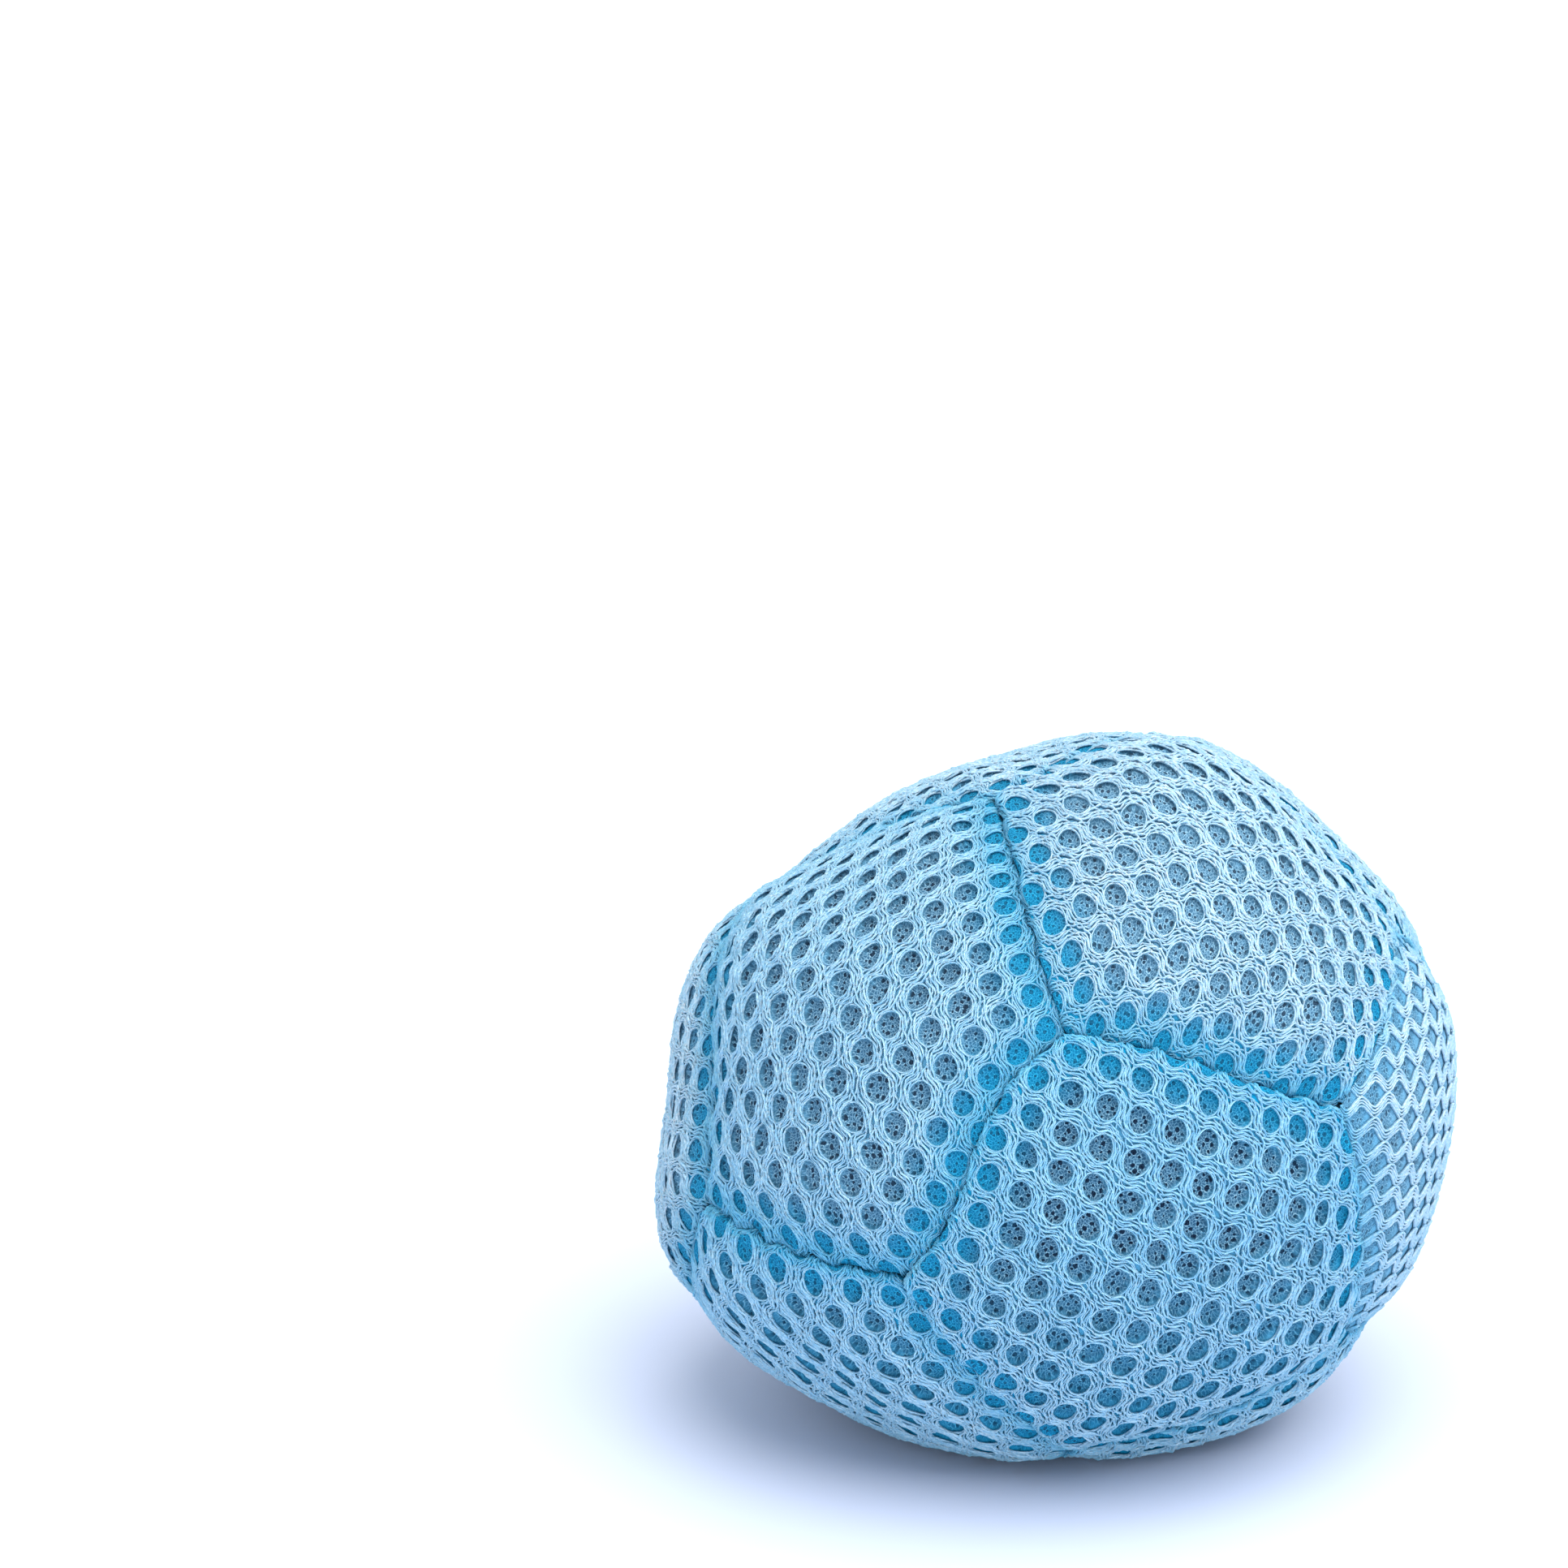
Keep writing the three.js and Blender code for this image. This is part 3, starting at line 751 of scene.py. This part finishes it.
def knit_panel(panel, number, yarn_material, pile_material):
    lay = Lay(panel)
    random = np.random.default_rng(knit_seed + number)
    start = cloth_middle(lay)
    drift_seed = int(random.integers(1 << 30))

    def on_cloth(cloth):
        cloth = cloth + start
        return lay.to_flat(cloth + cloth_warp(cloth, np.random.default_rng(drift_seed)))

    yarns = Yarns()

    def lay_yarn(cloth, depth, radius, closed=False):
        flat = on_cloth(cloth)
        inside, bearing = lay.edge_distance(flat)[:2]
        centres = lay.place(flat, depth)
        outwards = unit(centres - lay.place(flat, depth + fabric_thickness / 8))
        tone = random.uniform(-1, 1, cloth.shape[:2]) + random.uniform(-1, 1, (len(cloth), 1))
        # Painted shade near the seams, raised a little low down as painted floor bounce
        painted_shade_and_bounce = np.maximum(lay.seam_shade_at(inside, bearing), low_yarn_tint * lowness(centres))
        present = inside > -tail_in_seam
        # Painted light: the yarn is paler on the brighter panels and near the floor
        pale = lay.painted_light_at(centres)
        yarns.add(centres, outwards, flat, present, radius, painted_shade_and_bounce, tone, pale, closed)

    # The bundles that run along the wales, parted by the holes in the two columns beside them. Where
    # the cloth is pulled taut they zigzag without crossing.
    taut = panel in taut_panels
    bundle = np.arange(-bundles_each_way, bundles_each_way)
    along = np.arange(-patch_reach, patch_reach, strand_step)
    turn = np.pi * along / course_pitch
    sign = np.where(bundle % 2 == 0, 1.0, -1.0)[:, None]
    meeting = np.cos(turn) * sign
    from_left_hole = course_pitch / np.pi * np.arccos(np.clip(meeting, -1, 1))
    left_hole = hole_reach(from_left_hole)
    room = row_pitch / 2 - left_hole - hole_reach(course_pitch - from_left_hole)
    column = bundle[:, None] * row_pitch / 2
    swing = taut_swing * np.arcsin(taut_sharpness * meeting) / math.asin(taut_sharpness)
    crossing = 0 if taut else crossing_reach
    radius = strand_radius * (taut_radius_share if taut else 1)
    crimp_phase = random.uniform(0, 2 * np.pi, (len(bundle), 1))
    strands = taut_strands if taut else strands_per_bundle
    for strand in range(strands):
        side = 1 if strand % 2 else -1
        crimp = 2 * np.pi * along / crimp_length + crimp_phase + crimp_lag * strand
        crimp = crimp + slow_waves(random, len(bundle), along, crimp_drift, crimp_drift_lengths)
        wobble = slow_waves(random, len(bundle), along, wobble_height, wobble_lengths)
        rise = slow_waves(random, len(bundle), along, wobble_height, rise_lengths)
        wobble += side * crimp_reach * np.sin(crimp)
        rise += side * crimp_rise * np.cos(crimp)
        if taut:
            wobble *= taut_wobble_share
            rise *= taut_wobble_share
        if strand == 0:
            wobble -= crossing * np.clip(-meeting, 0, 1) ** 2
            rise -= crossing_under * np.clip(-meeting, 0, 1)
        if strand == strands - 1:
            wobble += crossing * np.clip(meeting, 0, 1) ** 2
            rise += crossing_over * np.clip(meeting, 0, 1)
        if taut:
            x = column + row_pitch / 4 + swing + (strand - (strands - 1) / 2) * taut_spacing + wobble
        else:
            x = column + left_hole + (strand + 0.5) / strands * room + wobble
        cloth = np.stack((x, np.broadcast_to(along, x.shape)), -1)
        lay_yarn(cloth, strand_depth - rise, radius)

    # The yarn that binds each hole
    if not taut:
        centres = hole_centres()
        round_hole = np.linspace(0, 2 * np.pi, ring_steps, endpoint=False)
        width = hole_half_width * random.uniform(*ring_size_shares, (len(centres), 1))
        height = hole_half_height * random.uniform(*ring_size_shares, (len(centres), 1))
        ripple = ring_ripple * np.sin(3 * round_hole + random.uniform(0, 2 * np.pi, (len(centres), 1)))
        x = centres[:, :1] + (width + ripple) * np.cos(round_hole)
        y = centres[:, 1:] + (height + ripple) * np.sin(round_hole)
        phase = random.uniform(0, 2 * np.pi, (len(centres), 1))
        depths = ring_depth + ring_rise * np.sin(2 * round_hole + phase)
        lay_yarn(np.stack((x, y), -1), depths, ring_radius, closed=True)

    piece = yarns.build("knit_" + panel, yarn_material)
    pile = pile_sheet("pile_" + panel, lay, on_cloth, pile_material)
    return piece, pile


def cup_share(cloth):
    """One on the floor of the cup under each hole, and zero between the holes."""
    best = np.full(cloth.shape[:-1], np.inf)
    row = cloth[..., 1] / course_pitch
    for step in (-1, 0, 1):
        nearest_row = np.floor(row) + step
        shift = 0.5 * (nearest_row % 2)
        column = np.rint(cloth[..., 0] / row_pitch - shift)
        x = (cloth[..., 0] - (column + shift) * row_pitch) / hole_half_width
        y = (cloth[..., 1] - nearest_row * course_pitch) / hole_half_height
        best = np.minimum(best, np.hypot(x, y))
    down = np.clip((cup_brim_share - best) / cup_wall_share, 0, 1)
    return down * down * (3 - 2 * down)


def pile_sheet(name, lay, on_cloth, material):
    span = np.arange(-patch_reach, patch_reach, pile_step)
    cloth = np.stack(np.meshgrid(span, span, indexing="ij"), -1)
    flat = on_cloth(cloth)
    inside = lay.edge_distance(flat)[0]
    present = inside > fold_radius - allowance_depth
    unpressed = np.clip(inside / full_thickness_from, 0, 1)
    underside = allowance_thickness + (fabric_thickness - allowance_thickness) * unpressed
    nearest, full = pile_full_depth_from
    lowered = np.clip((inside - nearest) / (full - nearest), 0, 1)
    cup = cup_share(cloth)
    floor = hole_floor - hole_floor_rise * lay.panel_light
    lowered = lowered ** pile_lowering_power
    depth = pile_at_seam + (pile_top + (floor - pile_top) * cup - pile_at_seam) * lowered
    depth = np.minimum(depth, pile_deepest_share * underside)
    # Painted shade: the pile turns deep cyan near the seams, and bluer near the floor as painted floor
    # bounce
    painted_shade_and_bounce = np.exp(-(np.maximum(inside, 0) / pile_shade_reach) ** 4)
    top = lay.place(flat, depth)
    bottom = lay.place(flat, underside)
    painted_shade_and_bounce = np.maximum(painted_shade_and_bounce, np.minimum(low_pile_tint * lowness(top), 1))
    count = span.size
    index = np.arange(count * count).reshape(count, count)
    cells = present[:-1, :-1] & present[1:, :-1] & present[:-1, 1:] & present[1:, 1:]
    upper = np.stack((index[:-1, :-1], index[1:, :-1], index[1:, 1:], index[:-1, 1:]), -1)
    lower = upper[..., ::-1] + count * count
    quads = [upper[cells], lower[cells]]
    padded = np.pad(cells, 1)
    # The edge of the sheet: the step to the cell beyond each side of a cell, and the side's corners
    sides = (((-1, 0), (3, 0)), ((1, 0), (1, 2)), ((0, -1), (0, 1)), ((0, 1), (2, 3)))
    for (row, column), (first, second) in sides:
        beyond = padded[1 + row:padded.shape[0] - 1 + row, 1 + column:padded.shape[1] - 1 + column]
        edge = cells & ~beyond
        a, b = upper[edge][:, first], upper[edge][:, second]
        quads.append(np.stack((b, a, a + count * count, b + count * count), -1))
    quads = np.concatenate(quads)
    used = np.unique(quads)
    renumbered = np.zeros(2 * count * count, np.int64)
    renumbered[used] = np.arange(len(used))
    vertices = np.concatenate((top.reshape(-1, 3), bottom.reshape(-1, 3)))[used]
    painted_shade_and_bounce = np.tile(painted_shade_and_bounce.ravel(), 2)[used]
    cup = np.tile(cup.ravel(), 2)[used]
    # On taut cloth the painted seam shade and the colour of the hole floors are weaker
    if lay.panel in taut_panels:
        painted_shade_and_bounce = taut_shade_share * painted_shade_and_bounce
        cup = taut_cup_share * cup
    # The map has the face of the sheet in its left half and the underside in its right half
    face_map = cloth.reshape(-1, 2) / map_span * (0.5, 1) + (0.25, 0.5)
    places = np.concatenate((face_map, face_map + (0.5, 0)))[quads]
    # Painted light: the pile is paler on the brighter panels and near the floor
    pale = lay.painted_light_at(vertices)
    cup = np.clip(cup_colour_rise * cup, 0, 1)
    values = [("painted_shade_and_bounce", painted_shade_and_bounce), ("cup", cup), ("pale", pale)]
    return make_mesh(name, vertices, [renumbered[quads]], material, values, places.reshape(-1, 2))


# The filling

def pellet_shape():
    """The corners and faces of one pellet: a short rounded cylinder."""
    bpy.ops.mesh.primitive_cylinder_add(
        vertices=pellet_sides, radius=pellet_diameter / 2, depth=pellet_length)
    pellet = bpy.context.object
    bpy.ops.object.mode_set(mode="EDIT")
    bpy.ops.mesh.select_all(action="DESELECT")
    bpy.ops.object.mode_set(mode="OBJECT")
    for polygon in pellet.data.polygons:
        polygon.select = len(polygon.vertices) == pellet_sides
    bpy.ops.object.mode_set(mode="EDIT")
    bpy.ops.mesh.select_mode(type="FACE")
    bpy.ops.mesh.bevel(offset=pellet_rounding, offset_type="OFFSET", segments=1, affect="EDGES")
    bpy.ops.mesh.select_all(action="SELECT")
    bpy.ops.mesh.quads_convert_to_tris()
    bpy.ops.object.mode_set(mode="OBJECT")
    vertices = np.array([tuple(vertex.co) for vertex in pellet.data.vertices])
    faces = np.array([tuple(polygon.vertices) for polygon in pellet.data.polygons])
    bpy.data.objects.remove(pellet)
    # The operators give the faces in any order, so they are put in one that is the same each run
    corners_in_order = (faces.argmin(1)[:, None] + np.arange(3)) % 3
    faces = np.take_along_axis(faces, corners_in_order, 1)
    return vertices, faces[np.lexsort(faces.T[::-1])]


def pellet_places():
    """Places in the bag, in close-packed layers, far enough in from the cloth."""
    reach = body_radius + oval_swell + three_lobe_swell
    counts = np.arange(-math.ceil(reach / pellet_pitch), math.ceil(reach / pellet_pitch) + 1)
    column, row, layer = np.stack(np.meshgrid(counts, counts, counts, indexing="ij"), -1).reshape(-1, 3).T
    x = column + 0.5 * (row % 2) + 0.5 * (layer % 2)
    y = math.sqrt(3) / 2 * row + math.sqrt(3) / 6 * (layer % 2)
    z = math.sqrt(2 / 3) * layer
    places = np.stack((x, y, z), -1) * pellet_pitch
    distances = np.maximum(np.linalg.norm(places, axis=-1), pellet_pitch / 8)
    directions = places / distances[:, None]
    depth = fabric_thickness + filling_clearance + pellet_diameter / 2 + valley_depth
    skin = body_points(directions, np.full(len(places), depth), np.zeros(len(places)))
    skin_reach = np.linalg.norm(skin - (0, 0, rest_height), axis=-1)
    return places[distances < skin_reach] + bag_middle + (0, 0, rest_height)


def pour_pellets(material):
    shape, faces = pellet_shape()
    places = pellet_places()
    random = np.random.default_rng(pellet_seed)
    places = places + random.uniform(-1, 1, places.shape) * (pellet_pitch - pellet_diameter) / 3
    axes = unit(random.normal(size=(len(places), 3)))
    beside = unit(np.cross(axes, random.normal(size=axes.shape)))
    turned = np.stack((beside, np.cross(axes, beside), axes), 1)
    vertices = (places[:, None] + shape @ turned).reshape(-1, 3)
    numbered = (faces + len(shape) * np.arange(len(places))[:, None, None]).reshape(-1, 3)
    mesh = bpy.data.meshes.new("pellets")
    mesh.from_pydata(vertices, [], numbered)
    mesh.materials.append(material)
    mesh.shade_smooth()
    return add_object("pellets", mesh)


# Finishes

def new_material(name):
    material = bpy.data.materials.new(name)
    material.use_nodes = True
    nodes = material.node_tree.nodes
    return material, nodes, material.node_tree.links, nodes["Principled BSDF"]


def set_inputs(node, **values):
    """Sets inputs of a shader node by their names, with _ for each space."""
    for name, value in values.items():
        node.inputs[name.replace("_", " ")].default_value = value


def new_node(nodes, kind, **values):
    node = nodes.new("ShaderNode" + kind)
    set_inputs(node, **values)
    return node


def object_texture(nodes, links, kind, **values):
    """A texture in the piece's own coordinates."""
    place = new_node(nodes, "TexCoord")
    texture = new_node(nodes, kind, **values)
    links.new(place.outputs["Object"], texture.inputs["Vector"])
    return texture


def named_value(nodes, name):
    attribute = new_node(nodes, "Attribute")
    attribute.attribute_name = name
    return attribute.outputs["Fac"]


def share_of(nodes, links, source, share):
    part = new_node(nodes, "Math")
    part.operation = "MULTIPLY"
    part.inputs[1].default_value = share
    links.new(source, part.inputs[0])
    return part.outputs["Value"]


def colour_ramp(nodes, links, source, stops):
    """Colours chosen by a value: each stop is a place and a colour."""
    ramp = new_node(nodes, "ValToRGB")
    elements = ramp.color_ramp.elements
    while len(elements) < len(stops):
        elements.new(1)
    for element, (place, colour) in zip(elements, stops):
        element.position = place
        element.color = (*colour, 1)
    links.new(source, ramp.inputs["Fac"])
    return ramp.outputs["Color"]


def colour_mix(nodes, links, amount, first, second, blend="MIX"):
    """Mixes two colours, given as tuples or as sockets, by an amount."""
    mix = new_node(nodes, "MixRGB")
    mix.blend_type = blend
    sockets = (mix.inputs["Fac"], mix.inputs["Color1"], mix.inputs["Color2"])
    for socket, value in zip(sockets, (amount, first, second)):
        if isinstance(value, bpy.types.NodeSocket):
            links.new(value, socket)
        elif isinstance(value, tuple):
            socket.default_value = (*value, 1)
        else:
            socket.default_value = value
    return mix.outputs["Color"]


def add_bump(nodes, links, shader, height, distance, strength=1, inwards=False):
    bump = new_node(nodes, "Bump", Distance=distance, Strength=strength)
    bump.invert = inwards
    links.new(height, bump.inputs["Height"])
    links.new(bump.outputs["Normal"], shader.inputs["Normal"])


def yarn_finish():
    """Glossy filament yarn, each strand its own tone, painted paler where light is painted in and deeper
    cyan where seam shade is painted in.
    """
    material, nodes, links, shader = new_material("blue_yarn")
    tone = new_node(nodes, "MapRange", From_Min=-1.5, From_Max=1.5)
    links.new(named_value(nodes, "tone"), tone.inputs["Value"])
    tone = tone.outputs["Result"]
    painted_shade_and_bounce = named_value(nodes, "painted_shade_and_bounce")
    blue = colour_mix(nodes, links, tone, (0.14, 0.355, 0.535), (0.26, 0.49, 0.66))
    # The milky mix is painted light: paler yarn on the brighter panels and low near the floor
    milky = colour_mix(nodes, links, tone, (0.28, 0.44, 0.57), (0.44, 0.575, 0.69))
    blue = colour_mix(nodes, links, named_value(nodes, "pale"), blue, milky)
    # The deep ramp is painted shade: dark cyan yarn down in the seam grooves and where the cloth dips, and a
    # touch of it low down as painted floor bounce
    deep = colour_ramp(nodes, links, painted_shade_and_bounce, [(0.75, (0, 0.3, 0.5)), (1, (0, 0.15, 0.28))])
    blue = colour_mix(nodes, links, share_of(nodes, links, painted_shade_and_bounce, 0.9), blue, deep)
    filaments = object_texture(nodes, links, "TexNoise", Scale=1 / filament_pitch, Detail=1)
    filaments = filaments.outputs["Fac"]
    specks = colour_ramp(nodes, links, filaments,
                         [(0.36, (0.74, 0.86, 0.92)), (0.5, (1, 1, 1)), (0.64, (1.25, 1.12, 1.06))])
    blue = colour_mix(nodes, links, 1.0, blue, specks, "MULTIPLY")
    links.new(blue, shader.inputs["Base Color"])
    add_bump(nodes, links, shader, filaments, filament_pitch / 3, 0.7)
    set_inputs(shader, Roughness=0.32, Specular_IOR_Level=0.6)
    set_inputs(shader, Sheen_Weight=0.4, Sheen_Roughness=0.4, Sheen_Tint=(0.25, 0.75, 1, 1))
    set_inputs(shader, Subsurface_Weight=0.35, Subsurface_Radius=(0.5, 0.8, 1),
               Subsurface_Scale=yarn_glow_reach)
    return material


def pile_finish():
    """A fuzzy inner mesh: round dark pores with paler rims, in a net of fine fibres."""
    material, nodes, links, shader = new_material("blue_pile")
    place = new_node(nodes, "UVMap")
    place.uv_map = "OFBake"
    in_pores = new_node(nodes, "Mapping", Scale=(2 * map_span / pore_pitch, map_span / pore_pitch, 1))
    links.new(place.outputs["UV"], in_pores.inputs["Vector"])
    in_pores = in_pores.outputs["Vector"]
    wander = new_node(nodes, "TexNoise", Scale=1.7)
    links.new(in_pores, wander.inputs["Vector"])
    moved = colour_mix(nodes, links, 0.25, in_pores, wander.outputs["Color"], "LINEAR_LIGHT")
    pores = new_node(nodes, "TexVoronoi")
    pores.voronoi_dimensions = "2D"
    set_inputs(pores, Scale=1, Randomness=0.6)
    links.new(moved, pores.inputs["Vector"])
    sizes = new_node(nodes, "SeparateColor")
    links.new(pores.outputs["Color"], sizes.inputs["Color"])
    shrunk = new_node(nodes, "Math")
    shrunk.operation = "MULTIPLY_ADD"
    shrunk.inputs[1].default_value = 0.2
    links.new(sizes.outputs["Red"], shrunk.inputs[0])
    links.new(pores.outputs["Distance"], shrunk.inputs[2])
    rims = colour_ramp(nodes, links, shrunk.outputs["Value"],
                       [(0.32, (0, 0.03, 0.08)), (0.36, (0.6, 0.75, 0.85)),
                        (0.42, (2, 1.6, 1.4)), (0.52, (0.8, 0.84, 0.88))])
    fibres = new_node(nodes, "TexVoronoi")
    fibres.voronoi_dimensions = "2D"
    fibres.feature = "DISTANCE_TO_EDGE"
    set_inputs(fibres, Scale=2.5)
    links.new(moved, fibres.inputs["Vector"])
    fibres = fibres.outputs["Distance"]

    def net_of(rim_share, *colours):
        """The net in its colours from fibre to gap, with the rims of the pores over it."""
        net = colour_ramp(nodes, links, fibres, list(zip((0, 0.1, 0.25), colours)))
        return colour_mix(nodes, links, rim_share, net, rims, "MULTIPLY")

    grey = net_of(0.95, (0.27, 0.47, 0.6), (0.1, 0.25, 0.37), (0.04, 0.13, 0.22))
    # The cyan net is painted shade, for the pile down in the seam grooves and dips
    cyan = net_of(0.6, (0.03, 0.31, 0.51), (0, 0.21, 0.38), (0, 0.15, 0.29))
    # The milky net is painted light, for the brighter panels and near the floor
    milky = net_of(0.45, (0.4, 0.62, 0.76), (0.26, 0.47, 0.62), (0.19, 0.38, 0.53))
    painted_shade_and_bounce = named_value(nodes, "painted_shade_and_bounce")
    pale = named_value(nodes, "pale")
    net = colour_mix(nodes, links, share_of(nodes, links, pale, 0.18), grey, milky)
    net = colour_mix(nodes, links, painted_shade_and_bounce, net, cyan)
    # Painted light pales the pile between the holes, and painted seam shade turns it deep cyan
    between = colour_mix(nodes, links, pale, (0.09, 0.34, 0.54), (0.16, 0.37, 0.54))
    between = colour_mix(nodes, links, painted_shade_and_bounce, between, (0.0, 0.3, 0.54))
    blue = colour_mix(nodes, links, named_value(nodes, "cup"), between, net)
    links.new(blue, shader.inputs["Base Color"])
    add_bump(nodes, links, shader, fibres, fibre_height, inwards=True)
    set_inputs(shader, Roughness=0.9, Specular_IOR_Level=0.2)
    return material


def pellet_finish():
    """Milky plastic pellets, each a little paler or darker than the next."""
    material, nodes, links, shader = new_material("milky_pellets")
    patches = object_texture(nodes, links, "TexNoise", Scale=1 / pellet_pitch)
    milk = colour_ramp(nodes, links, patches.outputs["Fac"],
                       [(0.3, (0.62, 0.63, 0.6)), (0.5, (0.76, 0.77, 0.75)), (0.7, (0.86, 0.87, 0.86))])
    links.new(milk, shader.inputs["Base Color"])
    set_inputs(shader, Roughness=0.38, Subsurface_Weight=0.2, Subsurface_Scale=pellet_diameter / 3)
    return material


def thread_finish():
    """Twisted polyester thread, with fine slanting plies."""
    material, nodes, links, shader = new_material("blue_thread")
    plies = object_texture(nodes, links, "TexWave", Scale=1 / ply_pitch, Distortion=1.5)
    plies.bands_direction = "DIAGONAL"
    plies = plies.outputs["Fac"]
    blue = colour_ramp(nodes, links, plies,
                       [(0.2, (0.03, 0.2, 0.36)), (0.6, (0.1, 0.36, 0.56)), (0.9, (0.2, 0.48, 0.68))])
    links.new(blue, shader.inputs["Base Color"])
    add_bump(nodes, links, shader, plies, ply_pitch / 4)
    set_inputs(shader, Roughness=0.5)
    return material


def stage_finish():
    material, nodes, links, shader = new_material("pale_floor")
    set_inputs(shader, Base_Color=(0.64, 0.68, 0.82, 1), Roughness=0.6)
    return material


def build_bag():
    yarn = yarn_finish()
    pile = pile_finish()
    for number, panel in enumerate(panel_facings):
        knit, backing = knit_panel(panel, number, yarn, pile)
        for piece in (knit, backing):
            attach(piece, "root")
            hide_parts("panel_" + panel)
    pellets = pour_pellets(pellet_finish())
    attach(pellets, "root")
    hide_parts("pellet_filling")
    thread = thread_finish()
    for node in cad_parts:
        if node.startswith("seam_thread"):
            run = bpy.data.objects[node]
            for slot in run.material_slots:
                slot.material = thread


# Floor, light and camera

def add_floor():
    bpy.ops.mesh.primitive_plane_add(size=floor_size)
    floor = bpy.context.object
    floor.name = "floor"
    floor.data.materials.append(stage_finish())


def add_light(name, kind, strength, colour):
    data = bpy.data.lights.new(name, kind)
    data.energy = strength
    data.color = colour
    return add_object(name, data)


def add_lights():
    """A white room, one broad soft light from above and to the right, and a pale card low in front."""
    world = bpy.data.worlds.new("studio")
    bpy.context.scene.world = world
    world.use_nodes = True
    set_inputs(world.node_tree.nodes["Background"], Color=room_colour, Strength=room_strength)
    key = add_light("key", "SUN", key_strength, key_colour)
    key.data.angle = key_spread
    key.rotation_euler = Vector(key_from).to_track_quat("Z", "Y").to_euler()
    card = add_light("card", "AREA", card_strength, card_colour)
    card.data.shape = "RECTANGLE"
    card.data.size, card.data.size_y = card_size
    card.location = bag_middle + np.array(card_place)
    card.rotation_euler = (math.pi / 2, 0, 0)
    card.visible_camera = False
    bpy.context.scene.view_settings.view_transform = "Standard"


def add_camera():
    data = bpy.data.cameras.new("camera")
    data.sensor_width = film_width
    data.lens = data.sensor_width * view_distance / view_width
    data.clip_start = view_distance / 10
    data.clip_end = view_distance * 20
    camera = add_object("camera", data)
    forwards = np.array((0, math.cos(view_rise), -math.sin(view_rise)))
    upwards = np.array((0, math.sin(view_rise), math.cos(view_rise)))
    bag = bag_middle + np.array((0, 0, rest_height))
    aim = bag - np.array((bag_right_of_view, 0, 0)) + bag_below_view * upwards
    camera.location = aim - view_distance * forwards
    camera.rotation_euler = (math.pi / 2 - view_rise, 0, 0)
    bpy.context.scene.camera = camera


add_camera()
build_bag()
add_floor()
add_lights()
